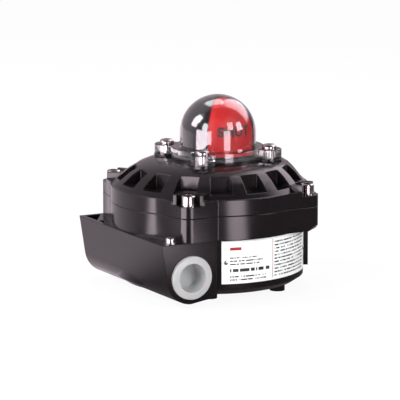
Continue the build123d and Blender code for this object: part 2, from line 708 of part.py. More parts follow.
with BuildPart() as plate_screws:
    for screw_x, screw_y in PLATE_SCREWS:
        with BuildSketch(Plane.XY.offset(PLATE_Z + PLATE_T)):
            with Locations((screw_x, screw_y)):
                Circle(3.0)
        extrude(amount=2.2)
        with BuildSketch(Plane.XY.offset(PLATE_Z - 8)):
            with Locations((screw_x, screw_y)):
                Circle(1.65)
        extrude(amount=PLATE_T + 8)
    chamfer(plate_screws.edges().filter_by(GeomType.CIRCLE).group_by(Axis.Z)[-1], 0.6)
    with BuildSketch(Plane.XY.offset(PLATE_Z + PLATE_T + 2.2)):
        with Locations(PLATE_SCREWS):
            Rectangle(CROSS_L, CROSS_W)
            Rectangle(CROSS_W, CROSS_L)
    extrude(amount=-1.2, mode=Mode.SUBTRACT)
save(plate_screws, "plate_screws")

with BuildPart() as switch_spacers:
    for hole_y in SWITCH_HOLE_Y:
        ring(PLATE_Z + PLATE_T, SWITCH_Z[0] - PLATE_Z - PLATE_T, 3.0, 1.6, SWITCH_HOLE_X, hole_y)
        ring(SWITCH_Z[0] + SWITCH_T, SWITCH_Z[1] - SWITCH_Z[0] - SWITCH_T, 3.0, 1.6, SWITCH_HOLE_X, hole_y)
save(switch_spacers, "switch_spacers")

with BuildPart() as switch_screws:
    for hole_y in SWITCH_HOLE_Y:
        with BuildSketch(Plane.XY.offset(SWITCH_Z[1] + SWITCH_T)):
            with Locations((SWITCH_HOLE_X, hole_y)):
                Circle(2.8)
        extrude(amount=2.0)
        with BuildSketch(Plane.XY.offset(PLATE_Z)):
            with Locations((SWITCH_HOLE_X, hole_y)):
                Circle(SWITCH_SCREW_R)
        extrude(amount=SWITCH_Z[1] + SWITCH_T - PLATE_Z)
    with BuildSketch(Plane.XY.offset(SWITCH_Z[1] + SWITCH_T + 2.0)):
        with Locations([(SWITCH_HOLE_X, y) for y in SWITCH_HOLE_Y]):
            Rectangle(CROSS_L, CROSS_W)
            Rectangle(CROSS_W, CROSS_L)
    extrude(amount=-1.0, mode=Mode.SUBTRACT)
save(switch_screws, "switch_screws")


def micro_switch(under_z):
    """Switch case with its two mounting holes, the plunger's guide and the lever's ears."""
    middle_z = under_z + SWITCH_T / 2
    with BuildPart() as case:
        with BuildSketch(Plane.XY.offset(under_z)):
            with BuildLine():
                Polyline(
                    (SWITCH_FACE_X, SWITCH_Y[0]),
                    (SWITCH_FACE_X + SWITCH_DEPTH, SWITCH_Y[0]),
                    (SWITCH_FACE_X + SWITCH_DEPTH, SWITCH_Y[1]),
                    (SWITCH_FACE_X, SWITCH_Y[1]),
                    close=True,
                )
            make_face()
        extrude(amount=SWITCH_T)
        chamfer(case.edges().filter_by(Axis.Z), 0.8)
        for ear_z in (middle_z - LEVER_W / 2 - 0.2 - EAR_T, middle_z + LEVER_W / 2 + 0.2):
            with BuildSketch(Plane.XY.offset(ear_z)):
                with BuildLine():
                    Polyline((27.5, 13.5), (24.8, 13.5), (24.0, 15), (24.8, 16.5), (27.5, 16.5), close=True)
                make_face()
                with Locations(LEVER_PIVOT):
                    Circle(PIN_R + RUNNING_GAP, mode=Mode.SUBTRACT)
            extrude(amount=EAR_T)
        with BuildSketch(Plane.XY.offset(under_z)):
            with Locations([(SWITCH_HOLE_X, y) for y in SWITCH_HOLE_Y]):
                Circle(SWITCH_SCREW_R + 0.05)
        extrude(amount=SWITCH_T, mode=Mode.SUBTRACT)
        with BuildSketch(Plane.YZ.offset(SWITCH_FACE_X)):
            with Locations((PLUNGER_Y, middle_z)):
                Circle(PLUNGER_R + RUNNING_GAP)
        extrude(amount=7, mode=Mode.SUBTRACT)
    return case


def lever(under_z, swing):
    """Leaf lever with a formed nose, turned about its hinge by the given angle."""
    middle_z = under_z + SWITCH_T / 2
    low_z = middle_z - LEVER_W / 2
    with BuildPart() as leaf:
        with BuildSketch(Plane.XY.offset(low_z)):
            with BuildLine():
                Polyline(
                    (LEVER_PIVOT[0] - LEVER_T / 2, -LEVER_TIP_R),
                    (LEVER_PIVOT[0] + LEVER_T / 2, -LEVER_TIP_R),
                    (LEVER_PIVOT[0] + LEVER_T / 2, LEVER_PIVOT[1]),
                    (LEVER_PIVOT[0] - LEVER_T / 2, LEVER_PIVOT[1]),
                    close=True,
                )
            make_face()
            with Locations(LEVER_PIVOT):
                Circle(PIN_R + 0.4)
            with Locations((TIP_X, 0)):
                Circle(LEVER_TIP_R)
            with Locations(((TIP_X + LEVER_PIVOT[0]) / 2, 0)):
                Rectangle(LEVER_PIVOT[0] - TIP_X, 1.6 * LEVER_TIP_R)
        extrude(amount=LEVER_W)
        with BuildSketch(Plane.XY.offset(low_z - 0.2 - EAR_T)):
            with Locations(LEVER_PIVOT):
                Circle(PIN_R)
        extrude(amount=LEVER_W + 2 * (0.2 + EAR_T))
    return leaf.part.rotate(Axis((LEVER_PIVOT[0], LEVER_PIVOT[1], 0), (0, 0, 1)), swing)


def plunger(under_z, travel):
    """Switch plunger, moved out of its case by the given travel."""
    with BuildPart() as pin:
        with BuildSketch(Plane.YZ.offset(LEVER_PIVOT[0] + LEVER_T / 2 + 0.12 - travel)):
            with Locations((PLUNGER_Y, under_z + SWITCH_T / 2)):
                Circle(PLUNGER_R)
        extrude(amount=6.5)
    return pin


SWITCHES = (("closed", SWITCH_Z[0], 0.0), ("open", SWITCH_Z[1], 1.0))
for side, under_z, released in SWITCHES:
    save(micro_switch(under_z), side + "_switch")
    with BuildPart() as side_lever:
        add(lever(under_z, -released * LEVER_SWING))
    save(side_lever, side + "_lever")
    save(plunger(under_z, released * PLUNGER_TRAVEL), side + "_plunger")

with BuildPart() as switch_tabs:
    for under_z in SWITCH_Z:
        for tab_y in (-4, 5, 14):
            with BuildSketch(Plane.YZ.offset(SWITCH_FACE_X + SWITCH_DEPTH)):
                with Locations((tab_y, under_z + SWITCH_T / 2)):
                    Rectangle(0.8, 4.8)
            extrude(amount=6)
save(switch_tabs, "switch_tabs")

# ---------------------------------------------------------------- terminal strip

STRIP_Z = LOWER_BOSS_Z
STRIP_L = 82.0
SADDLE_H = 13.0             # seat of the terminal screws above the strip's foot
POLE_PITCH = 8.0
POLE_COUNT = 8
POLE_Y = [(number - (POLE_COUNT - 1) / 2) * POLE_PITCH for number in range(POLE_COUNT)]

with BuildPart() as terminal_strip:
    with BuildSketch(Plane.XZ.offset(-STRIP_L / 2)):
        with BuildLine():
            Polyline(
                (STRIP_X - 8, STRIP_Z),
                (STRIP_X + 8, STRIP_Z),
                (STRIP_X + 8, STRIP_Z + 9),
                (STRIP_X + 4.5, STRIP_Z + 9),
                (STRIP_X + 4.5, STRIP_Z + 13),
                (STRIP_X - 4.5, STRIP_Z + 13),
                (STRIP_X - 4.5, STRIP_Z + 9),
                (STRIP_X - 8, STRIP_Z + 9),
                close=True,
            )
        make_face()
    extrude(amount=STRIP_L)
    for number in range(POLE_COUNT + 1):
        rib_y = (number - POLE_COUNT / 2) * POLE_PITCH
        with BuildSketch(Plane.XZ.offset(rib_y - 0.6)):
            with BuildLine():
                Polyline(
                    (STRIP_X - 8, STRIP_Z),
                    (STRIP_X + 8, STRIP_Z),
                    (STRIP_X + 8, STRIP_Z + 12),
                    (STRIP_X + 5, STRIP_Z + 17),
                    (STRIP_X - 5, STRIP_Z + 17),
                    (STRIP_X - 8, STRIP_Z + 12),
                    close=True,
                )
            make_face()
        extrude(amount=1.2)
    with Locations([(STRIP_X, y, STRIP_Z + SADDLE_H) for y in POLE_Y]):
        Hole(1.5, depth=8)
    with Locations([(x, y, STRIP_Z + SADDLE_H) for x, y in STRIP_SCREWS]):
        Hole(M3_CLEARANCE_R, depth=20)
save(terminal_strip, "terminal_strip")

with BuildPart() as terminal_screws:
    for pole_y in POLE_Y:
        with BuildSketch(Plane.XY.offset(STRIP_Z + SADDLE_H)):
            with Locations((STRIP_X, pole_y)):
                Circle(2.7)
        extrude(amount=2.0)
        with BuildSketch(Plane.XY.offset(STRIP_Z + 6)):
            with Locations((STRIP_X, pole_y)):
                Circle(1.45)
        extrude(amount=7)
    with BuildSketch(Plane.XY.offset(STRIP_Z + 15)):
        with Locations([(STRIP_X, y) for y in POLE_Y]):
            Rectangle(6, 0.8)
    extrude(amount=-1.0, mode=Mode.SUBTRACT)
save(terminal_screws, "terminal_screws")

with BuildPart() as strip_screws:
    for strip_screw in STRIP_SCREWS:
        with BuildSketch(Plane.XY.offset(STRIP_Z + SADDLE_H)):
            with Locations(strip_screw):
                Circle(2.9)
        extrude(amount=2.2)
        with BuildSketch(Plane.XY.offset(STRIP_Z - 8)):
            with Locations(strip_screw):
                Circle(1.65)
        extrude(amount=21)
    with BuildSketch(Plane.XY.offset(STRIP_Z + SADDLE_H + 2.2)):
        with Locations(STRIP_SCREWS):
            Rectangle(CROSS_L, CROSS_W)
            Rectangle(CROSS_W, CROSS_L)
    extrude(amount=-1.0, mode=Mode.SUBTRACT)
save(strip_screws, "strip_screws")

# ---------------------------------------------------------------- conduit plug, nameplate, earth screws

PLUG_FLANGE_R = 15.7
PLUG_FLANGE_T = 2.5
PLUG_CUP_R = 10.5
PLUG_STEM = 13.0
ENTRY_FACE = Plane((BLOCK_X, -BLOCK_END_Y, BLOCK_Z), x_dir=(1, 0, 0), z_dir=(0, -1, 0))

with BuildPart() as dust_plug:
    with BuildSketch(ENTRY_FACE):
        Circle(PLUG_FLANGE_R)
    extrude(amount=PLUG_FLANGE_T)
    with BuildSketch(ENTRY_FACE):
        Circle(ENTRY_R - 0.05)
    extrude(amount=-PLUG_STEM)
    fillet(dust_plug.edges().sort_by(Axis.Y)[0], 1.0)
    with BuildSketch(ENTRY_FACE.offset(PLUG_FLANGE_T)):
        Circle(PLUG_CUP_R)
    extrude(amount=-(PLUG_FLANGE_T + PLUG_STEM - 2), taper=4, mode=Mode.SUBTRACT)
save(dust_plug, "dust_plug")

PLATE_FROM = -21.3          # degrees round the wall, from the front towards the +X side
PLATE_TO = 53.5
PLATE_LOW_Z = 15.0
PLATE_HIGH_Z = 46.2
NAMEPLATE_T = 0.5
with BuildPart() as nameplate:
    with BuildSketch(Plane.XZ):
        with Locations((HOUSING_X + WALL_R + NAMEPLATE_T / 2, (PLATE_LOW_Z + PLATE_HIGH_Z) / 2)):
            Rectangle(NAMEPLATE_T, PLATE_HIGH_Z - PLATE_LOW_Z)
    revolve(axis=Axis((HOUSING_X, 0, 0), (0, 0, 1)), revolution_arc=PLATE_TO - PLATE_FROM)
nameplate.part = nameplate.part.rotate(Axis((HOUSING_X, 0, 0), (0, 0, 1)), PLATE_FROM - 90)
save(nameplate, "nameplate")

with BuildPart() as earth_screw:
    with BuildSketch(Plane.XY.offset(BLOCK_TOP_Z + 2)):
        with Locations(EARTH_POINT):
            Circle(3.5)
    extrude(amount=2.6)
    fillet(earth_screw.edges().group_by(Axis.Z)[-1], 1.4)
    with BuildSketch(Plane.XY.offset(BLOCK_TOP_Z - 4.5)):
        with Locations(EARTH_POINT):
            Circle(2.0)
    extrude(amount=6.5)
    with BuildSketch(Plane.XY.offset(BLOCK_TOP_Z + 4.6)):
        with Locations(EARTH_POINT):
            Rectangle(3.6, 0.9)
            Rectangle(0.9, 3.6)
    extrude(amount=-1.4, mode=Mode.SUBTRACT)
save(earth_screw, "earth_screw")

with BuildPart() as earth_washers:
    ring(BLOCK_TOP_Z, 0.9, 4.4, 2.1, *EARTH_POINT)
    ring(BLOCK_TOP_Z + 0.9, 1.1, 3.6, 2.1, *EARTH_POINT)
save(earth_washers, "earth_washers")

with BuildPart() as inner_earth_screw:
    with BuildSketch(Plane.XY.offset(FLOOR_Z)):
        with Locations(INNER_EARTH_POINT):
            Circle(3.4)
    extrude(amount=2.6)
    with BuildSketch(Plane.XY.offset(FLOOR_Z - 3.3)):
        with Locations(INNER_EARTH_POINT):
            Circle(2.0)
    extrude(amount=3.3)
    with BuildSketch(Plane.XY.offset(FLOOR_Z + 2.6)):
        with Locations(INNER_EARTH_POINT):
            Rectangle(8, 0.9)
    extrude(amount=-1.2, mode=Mode.SUBTRACT)
save(inner_earth_screw, "inner_earth_screw")
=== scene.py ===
"""Looks of a valve limit switch box: finishes, dome, indicator, nameplate and fasteners, in metres."""

import json
import logging
import math
import random
from contextlib import contextmanager
from dataclasses import dataclass, field
from enum import Enum
from typing import Callable, Iterator, Optional, Union

import bpy
from mathutils import Matrix, Vector


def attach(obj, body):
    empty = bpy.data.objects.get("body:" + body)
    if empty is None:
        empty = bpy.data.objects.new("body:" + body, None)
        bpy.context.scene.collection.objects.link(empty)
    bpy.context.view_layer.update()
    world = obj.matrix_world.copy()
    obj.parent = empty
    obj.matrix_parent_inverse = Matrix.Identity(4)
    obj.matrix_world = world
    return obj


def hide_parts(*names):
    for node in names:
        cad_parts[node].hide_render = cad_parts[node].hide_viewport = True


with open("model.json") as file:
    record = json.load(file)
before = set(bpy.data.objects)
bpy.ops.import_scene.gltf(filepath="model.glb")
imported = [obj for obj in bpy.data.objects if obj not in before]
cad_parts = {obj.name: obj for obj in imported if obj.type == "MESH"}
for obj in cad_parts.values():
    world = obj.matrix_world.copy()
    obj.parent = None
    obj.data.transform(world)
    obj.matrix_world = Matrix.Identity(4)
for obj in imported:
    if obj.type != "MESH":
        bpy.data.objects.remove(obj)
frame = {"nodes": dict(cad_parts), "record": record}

MM = 0.001
HOUSING_X = -7.0 * MM           # centre of the round housing, measured from the shaft axis
WORLD_UP = Vector((0.0, 0.0, 1.0))
CASTING_SMOOTH = 19.0           # degrees up to which faces shade as one
FITTING_SMOOTH = 30.0
PRINT_SMOOTH = 20.0
PIN_SMOOTH = 40.0
LOG = logging.getLogger("switch_box")
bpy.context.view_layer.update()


class Body(Enum):
    """Rigid bodies that the pieces ride on."""

    HOUSING = "housing"
    ROTOR = "rotor"


class Slot(Enum):
    """Material slots of the record."""

    PAINT = "housing_paint"
    STAINLESS = "stainless_steel"
    ZINC = "zinc_steel"
    RUBBER = "seal_rubber"
    LENS = "clear_lens"
    MASK = "mask_black"
    RED = "vane_red"
    YELLOW = "vane_yellow"
    GREEN = "cam_green"
    HUB = "cam_black"
    BRONZE = "bronze"
    BRASS = "contact_brass"
    SWITCH = "switch_case"
    TERMINAL = "terminal_plastic"
    PLUG = "plug_plastic"
    PLATE = "nameplate_metal"


# ---------------------------------------------------------------- shader building

Value = Union["Wire", float, tuple]


class Wire:
    """One output of a shader node, on which arithmetic adds Math nodes."""

    def __init__(self, graph: "Graph", socket: bpy.types.NodeSocket) -> None:
        """Hold a socket.

        Args:
            graph: the material's graph that the socket is in.
            socket: the output that the wire starts at.
        """
        self.graph = graph
        self.socket = socket

    def _math(self, operation: str, first: Value, second: Value = 0.0) -> "Wire":
        """Add a Math node.

        Args:
            operation: the node's operation.
            first: first operand.
            second: second operand.

        Returns:
            The node's output.
        """
        return self.graph.node("ShaderNodeMath", {"operation": operation}, {0: first, 1: second})

    def __add__(self, other: Value) -> "Wire":
        """Sum."""
        return self._math("ADD", self, other)

    def __radd__(self, other: Value) -> "Wire":
        """Sum, reflected."""
        return self._math("ADD", other, self)

    def __sub__(self, other: Value) -> "Wire":
        """Difference."""
        return self._math("SUBTRACT", self, other)

    def __rsub__(self, other: Value) -> "Wire":
        """Difference, reflected."""
        return self._math("SUBTRACT", other, self)

    def __mul__(self, other: Value) -> "Wire":
        """Product."""
        return self._math("MULTIPLY", self, other)

    def __rmul__(self, other: Value) -> "Wire":
        """Product, reflected."""
        return self._math("MULTIPLY", other, self)

    def __gt__(self, other: Value) -> "Wire":
        """1 where this is the greater, else 0."""
        return self._math("GREATER_THAN", self, other)

    def most(self, other: Value) -> "Wire":
        """The greater of the two."""
        return self._math("MAXIMUM", self, other)

    def turn_from(self, other: Value) -> "Wire":
        """Angle in radians whose sine and cosine this and the other are in proportion to."""
        return self._math("ARCTAN2", self, other)

    def rise(self, low: float, high: float) -> "Wire":
        """Smooth step.

        Args:
            low: where it is 0.
            high: where it reaches 1.

        Returns:
            The step.
        """
        settings = {"interpolation_type": "SMOOTHSTEP"}
        inputs = {"Value": self, "From Min": low, "From Max": high}
        return self.graph.node("ShaderNodeMapRange", settings, inputs)

    def window(self, low: float, high: float, soft: float) -> "Wire":
        """1 between two values, with soft flanks.

        Args:
            low: lower limit.
            high: upper limit.
            soft: width of each flank.

        Returns:
            The window.
        """
        return self.rise(low - soft, low) * (1.0 - self.rise(high, high + soft))


class Graph:
    """Node graph of one material or of the world."""

    def __init__(self, tree: bpy.types.NodeTree) -> None:
        """Start from an empty graph.

        Args:
            tree: the node tree to fill.
        """
        self.tree = tree
        tree.nodes.clear()

    def node(self, kind: str, settings: Optional[dict] = None, inputs: Optional[dict] = None,
             output: Union[int, str] = 0) -> Wire:
        """Add a node.

        Args:
            kind: the node's type.
            settings: attributes to set first.
            inputs: values or wires by the name or the number of their socket.
            output: name or number of the output to return.

        Returns:
            The chosen output.
        """
        made = self.tree.nodes.new(kind)
        for name, value in (settings or {}).items():
            setattr(made, name, value)
        for name, value in (inputs or {}).items():
            if isinstance(value, Wire):
                self.tree.links.new(value.socket, made.inputs[name])
            else:
                made.inputs[name].default_value = value
        return Wire(self, made.outputs[output])

    def place(self) -> Wire:
        """Position on the piece, in metres."""
        return self.node("ShaderNodeTexCoord", output="Object")

    def axis(self, vector: Wire, name: str) -> Wire:
        """One component of a vector.

        Args:
            vector: the vector.
            name: X, Y or Z.

        Returns:
            The component.
        """
        return self.node("ShaderNodeSeparateXYZ", inputs={0: vector}, output=name)

    def along(self, vector: Wire, way: Vector) -> Wire:
        """Component of a vector along a direction.

        Args:
            vector: the vector.
            way: the direction.

        Returns:
            Its component.
        """
        settings = {"operation": "DOT_PRODUCT"}
        return self.node("ShaderNodeVectorMath", settings, {0: vector, 1: tuple(way)}, output="Value")

    def ray(self, *kinds: str) -> Wire:
        """1 for rays of any of these kinds, else 0.

        Args:
            kinds: outputs of the Light Path node.

        Returns:
            The mask.
        """
        found = self.node("ShaderNodeLightPath", output=kinds[0])
        for kind in kinds[1:]:
            found = found.most(self.node("ShaderNodeLightPath", output=kind))
        return found

    def bounced(self, depth: str) -> Wire:
        """1 for rays that have bounced at least once.

        Args:
            depth: the Light Path output that counts the bounces.

        Returns:
            The mask.
        """
        return self.node("ShaderNodeLightPath", output=depth) > 0.5

    def clear_view(self) -> Wire:
        """1 for the camera's rays, also through clear parts, but not after a bounce."""
        bounced = self.bounced("Glossy Depth").most(self.bounced("Diffuse Depth"))
        return self.ray("Is Camera Ray", "Is Transmission Ray") * (1.0 - bounced)

    def mirrored_view(self) -> Wire:
        """1 for rays that show the studio in gloss, also through clear parts."""
        return self.ray("Is Glossy Ray").most(self.ray("Is Transmission Ray") * self.bounced("Glossy Depth"))

    def noise(self, scale: float, detail: float = 3.0, rough: float = 0.5) -> Wire:
        """Soft noise over the piece.

        Args:
            scale: cells per metre.
            detail: octaves.
            rough: weight of the finer octaves.

        Returns:
            The noise, from 0 to 1.
        """
        inputs = {"Vector": self.place(), "Scale": scale, "Detail": detail, "Roughness": rough}
        return self.node("ShaderNodeTexNoise", inputs=inputs)

    def around(self, middle: float, spread: float, pattern: Wire) -> Wire:
        """Value that wanders about a middle with a pattern.

        Args:
            middle: the value half way.
            spread: how far it goes either way.
            pattern: from 0 to 1.

        Returns:
            The value.
        """
        return middle - spread + pattern * (2.0 * spread)

    def blend(self, amount: Value, low: Value, high: Value) -> Wire:
        """Mix two colours.

        Args:
            amount: 0 for low, 1 for high.
            low: first colour.
            high: second colour.

        Returns:
            The mixed colour.
        """
        settings = {"data_type": "RGBA"}
        return self.node("ShaderNodeMix", settings, {0: amount, 6: low, 7: high}, output=2)

    def relief(self, height: Wire, depth: float, edge: float = 0.0) -> Wire:
        """Bumped normal, on edges that are rounded by a small radius.

        Args:
            height: height pattern from 0 to 1.
            depth: metres from its lowest to its highest point.
            edge: radius of the edges.

        Returns:
            The normal.
        """
        inputs = {"Height": height, "Distance": depth, "Strength": 1.0}
        if edge:
            inputs["Normal"] = self.node("ShaderNodeBevel", {"samples": 6}, {"Radius": edge})
        return self.node("ShaderNodeBump", inputs=inputs)

    def end(self, shader: Wire, kind: str = "ShaderNodeOutputMaterial") -> None:
        """Close the graph.

        Args:
            shader: what the surface shows.
            kind: the output node's type.
        """
        last = self.tree.nodes.new(kind)
        self.tree.links.new(shader.socket, last.inputs["Surface"])


def new_material(name: str) -> tuple[bpy.types.Material, Graph]:
    """Make a material with an empty graph.

    Args:
        name: the material's name.

    Returns:
        The material and its graph.
    """
    material = bpy.data.materials.new(name)
    material.use_nodes = True
    return material, Graph(material.node_tree)


Colour = tuple[float, float, float, float]


def rgb(red: float, green: float, blue: float) -> Colour:
    """Linear colour with full alpha.

    Args:
        red: share of red.
        green: share of green.
        blue: share of blue.

    Returns:
        The colour.
    """
    return (red, green, blue, 1.0)


@dataclass(frozen=True)
class PowderCoat:
    """Satin powder coat over a casting, with fine orange peel."""

    name: str
    low: Colour
    high: Colour
    roughness: float = 0.20
    spread: float = 0.04            # how far the roughness wanders
    clouds: float = 60.0            # clouds of colour per metre
    ior: float = 1.45
    peel: float = 0.9 * MM          # width of one cell of the peel
    peel_depth: float = 0.006 * MM
    edge: float = 0.7 * MM

    def build(self) -> bpy.types.Material:
        """Make the material."""
        material, graph = new_material(self.name)
        peel = graph.noise(1.0 / self.peel, detail=2.0, rough=0.4)
        cloud = graph.noise(self.clouds)
        inputs = {
            "Base Color": graph.blend(cloud, self.low, self.high),
            "Roughness": graph.around(self.roughness, self.spread, cloud),
            "IOR": self.ior,
            "Normal": graph.relief(peel, self.peel_depth, self.edge),
        }
        graph.end(graph.node("ShaderNodeBsdfPrincipled", inputs=inputs))
        return material


@dataclass(frozen=True)
class Metal:
    """Bare or plated metal with fine turning marks and a little tarnish."""

    name: str
    bright: Colour
    dull: Colour
    roughness: float
    spread: float = 0.06            # how far the roughness wanders
    spots: float = 250.0            # spots of tarnish per metre
    marks: float = 0.25 * MM        # width of one turning mark
    marks_depth: float = 0.002 * MM
    edge: float = 0.15 * MM

    def build(self) -> bpy.types.Material:
        """Make the material."""
        material, graph = new_material(self.name)
        marks = graph.noise(1.0 / self.marks, detail=2.0)
        tarnish = graph.noise(self.spots, detail=4.0, rough=0.6)
        inputs = {
            "Base Color": graph.blend(tarnish, self.bright, self.dull),
            "Metallic": 1.0,
            "Roughness": graph.around(self.roughness, self.spread, tarnish),
            "Normal": graph.relief(marks, self.marks_depth, self.edge),
        }
        graph.end(graph.node("ShaderNodeBsdfPrincipled", inputs=inputs))
        return material


@dataclass(frozen=True)
class Plastic:
    """Moulded plastic, painted sheet or rubber with a faint grain."""

    name: str
    colour: Colour
    shade: Colour
    roughness: float
    spread: float = 0.03            # how far the roughness wanders
    clouds: float = 120.0           # clouds of colour per metre
    grain: float = 0.5 * MM
    grain_depth: float = 0.004 * MM
    edge: float = 0.2 * MM
    transmission: float = 0.0
    subsurface: float = 0.0
    scatter: float = 2.0 * MM       # how far light scatters below the surface

    def build(self) -> bpy.types.Material:
        """Make the material."""
        material, graph = new_material(self.name)
        grain = graph.noise(1.0 / self.grain)
        cloud = graph.noise(self.clouds)
        inputs = {
            "Base Color": graph.blend(cloud, self.colour, self.shade),
            "Roughness": graph.around(self.roughness, self.spread, cloud),
            "Transmission Weight": self.transmission,
            "Subsurface Weight": self.subsurface,
            "Subsurface Scale": self.scatter,
            "Normal": graph.relief(grain, self.grain_depth, self.edge),
        }
        graph.end(graph.node("ShaderNodeBsdfPrincipled", inputs=inputs))
        return material


@dataclass(frozen=True)
class ClearMoulding:
    """Clear polycarbonate: light that falls through it lights what is inside."""

    name: str
    tint: Colour
    roughness: float = 0.02
    spread: float = 0.005           # how far the roughness wanders
    ripples: float = 140.0          # ripples per metre
    ripple_depth: float = 0.003 * MM
    ior: float = 1.5
    flange_low: float = 102.0 * MM  # the haze fades out from here
    flange_high: float = 103.5 * MM
    haze: float = 0.04              # share of scattered light in the thick flange
    shadow: float = 0.9             # share of the light that falls through

    def build(self) -> bpy.types.Material:
        """Make the material."""
        material, graph = new_material(self.name)
        ripple = graph.noise(self.ripples, detail=2.0)
        inputs = {
            "Base Color": self.tint,
            "Roughness": graph.around(self.roughness, self.spread, ripple),
            "IOR": self.ior,
            "Transmission Weight": 1.0,
            "Normal": graph.relief(ripple, self.ripple_depth),
        }
        glass = graph.node("ShaderNodeBsdfPrincipled", inputs=inputs)
        cloudy = graph.node("ShaderNodeBsdfTranslucent", inputs={"Color": self.tint})
        thick = 1.0 - graph.axis(graph.place(), "Z").rise(self.flange_low, self.flange_high)
        moulded = graph.node("ShaderNodeMixShader", inputs={0: thick * self.haze, 1: glass, 2: cloudy})
        through = graph.node("ShaderNodeBsdfTransparent", inputs={"Color": self.tint})
        falling = graph.ray("Is Shadow Ray") * self.shadow
        graph.end(graph.node("ShaderNodeMixShader", inputs={0: falling, 1: moulded, 2: through}))
        return material


Finish = Union[PowderCoat, Metal, Plastic, ClearMoulding]
FINISHES: dict[Slot, Finish] = {
    Slot.PAINT: PowderCoat("black_powder_coat", rgb(0.0048, 0.0036, 0.0042), rgb(0.0070, 0.0054, 0.0062)),
    Slot.STAINLESS: Metal("stainless_steel", rgb(0.62, 0.60, 0.59), rgb(0.42, 0.40, 0.39), 0.17),
    Slot.ZINC: Metal("zinc_plated_steel", rgb(0.62, 0.63, 0.64), rgb(0.42, 0.43, 0.45), 0.30),
    Slot.RUBBER: Plastic("seal_rubber", rgb(0.012, 0.012, 0.012), rgb(0.02, 0.02, 0.02), 0.6),
    Slot.LENS: ClearMoulding("clear_polycarbonate", rgb(0.97, 0.98, 0.98)),
    Slot.MASK: Plastic("mask_black", rgb(0.008, 0.007, 0.008), rgb(0.012, 0.011, 0.012), 0.14),
    Slot.RED: Plastic("indicator_red", rgb(0.30, 0.0015, 0.002), rgb(0.26, 0.0012, 0.0016), 0.42),
    Slot.YELLOW: Plastic("indicator_yellow", rgb(0.84, 0.58, 0.02), rgb(0.78, 0.50, 0.015), 0.30),
    Slot.GREEN: Plastic("cam_green", rgb(0.02, 0.30, 0.07), rgb(0.015, 0.24, 0.05), 0.35),
    Slot.HUB: Plastic("cam_black", rgb(0.012, 0.012, 0.013), rgb(0.02, 0.02, 0.02), 0.4),
    Slot.BRONZE: Metal("sintered_bronze", rgb(0.55, 0.33, 0.12), rgb(0.38, 0.21, 0.07), 0.38),
    Slot.BRASS: Metal("contact_brass", rgb(0.78, 0.58, 0.24), rgb(0.60, 0.42, 0.16), 0.26),
    Slot.SWITCH: Plastic("switch_case", rgb(0.02, 0.02, 0.022), rgb(0.03, 0.03, 0.03), 0.42),
    Slot.TERMINAL: Plastic("terminal_plastic", rgb(0.05, 0.05, 0.055), rgb(0.07, 0.07, 0.07), 0.4),
    Slot.PLUG: Plastic("milky_plastic", rgb(0.66, 0.65, 0.66), rgb(0.60, 0.60, 0.61), 0.20,
                       transmission=0.35, subsurface=0.25),
    Slot.PLATE: Plastic("white_nameplate", rgb(0.86, 0.86, 0.86), rgb(0.82, 0.82, 0.82), 0.32),
}


# ---------------------------------------------------------------- modelling helpers


def select_only(*pieces: bpy.types.Object) -> None:
    """Select these pieces alone and make the first one active.

    Args:
        pieces: the pieces to select.
    """
    bpy.ops.object.select_all(action="DESELECT")
    for piece in pieces:
        piece.select_set(True)
    bpy.context.view_layer.objects.active = pieces[0]


def settle(piece: bpy.types.Object, name: str, smooth: float) -> bpy.types.Object:
    """Put a piece's place into its mesh, name it and shade it smooth up to an angle.

    Args:
        piece: the piece.
        name: its name.
        smooth: degrees up to which neighbouring faces shade as one.

    Returns:
        The piece.
    """
    select_only(piece)
    bpy.ops.object.transform_apply(location=True, rotation=True, scale=True)
    bpy.ops.object.shade_smooth_by_angle(angle=math.radians(smooth))
    piece.name = name
    piece.data.name = name
    return piece


@contextmanager
def editing(piece: bpy.types.Object, action: str = "SELECT", kind: str = "VERT") -> Iterator[None]:
    """Edit mode on one piece.

    Args:
        piece: the piece.
        action: SELECT to start with all of it selected, DESELECT with none.
        kind: what is selected, VERT, EDGE or FACE.

    Yields:
        Nothing; object mode is back afterwards.
    """
    select_only(piece)
    bpy.ops.object.mode_set(mode="EDIT")
    bpy.ops.mesh.select_mode(type=kind)
    bpy.ops.mesh.select_all(action=action)
    yield
    bpy.ops.object.mode_set(mode="OBJECT")


def choose_faces(piece: bpy.types.Object, test: Callable[[Vector, Vector], bool]) -> None:
    """Select, from object mode, the faces that pass a test, and go to edit mode.

    Args:
        piece: the piece.
        test: takes a face's centre and its normal.
    """
    with editing(piece, "DESELECT", "FACE"):
        pass
    for face in piece.data.polygons:
        face.select = test(face.center, face.normal)
    bpy.ops.object.mode_set(mode="EDIT")


def reshape(piece: bpy.types.Object, move: Callable[[Vector], Vector]) -> None:
    """Move every point of a piece's mesh.

    Args:
        piece: the piece.
        move: gives a point's new place.
    """
    for vertex in piece.data.vertices:
        vertex.co = move(vertex.co)
    piece.data.update()


def slice_evenly(piece: bpy.types.Object, axis: Vector, low: float, high: float, step: float) -> None:
    """Cut a flat piece across at even steps, so that it can bend.

    Args:
        piece: the piece, unturned and unscaled.
        axis: direction across the cuts.
        low: place of the first cut along the axis.
        high: where the cuts end.
        step: distance from cut to cut.
    """
    with editing(piece):
        place = low
        while place < high:
            bpy.ops.mesh.select_all(action="SELECT")
            bpy.ops.mesh.bisect(plane_co=axis * place, plane_no=axis)
            place += step


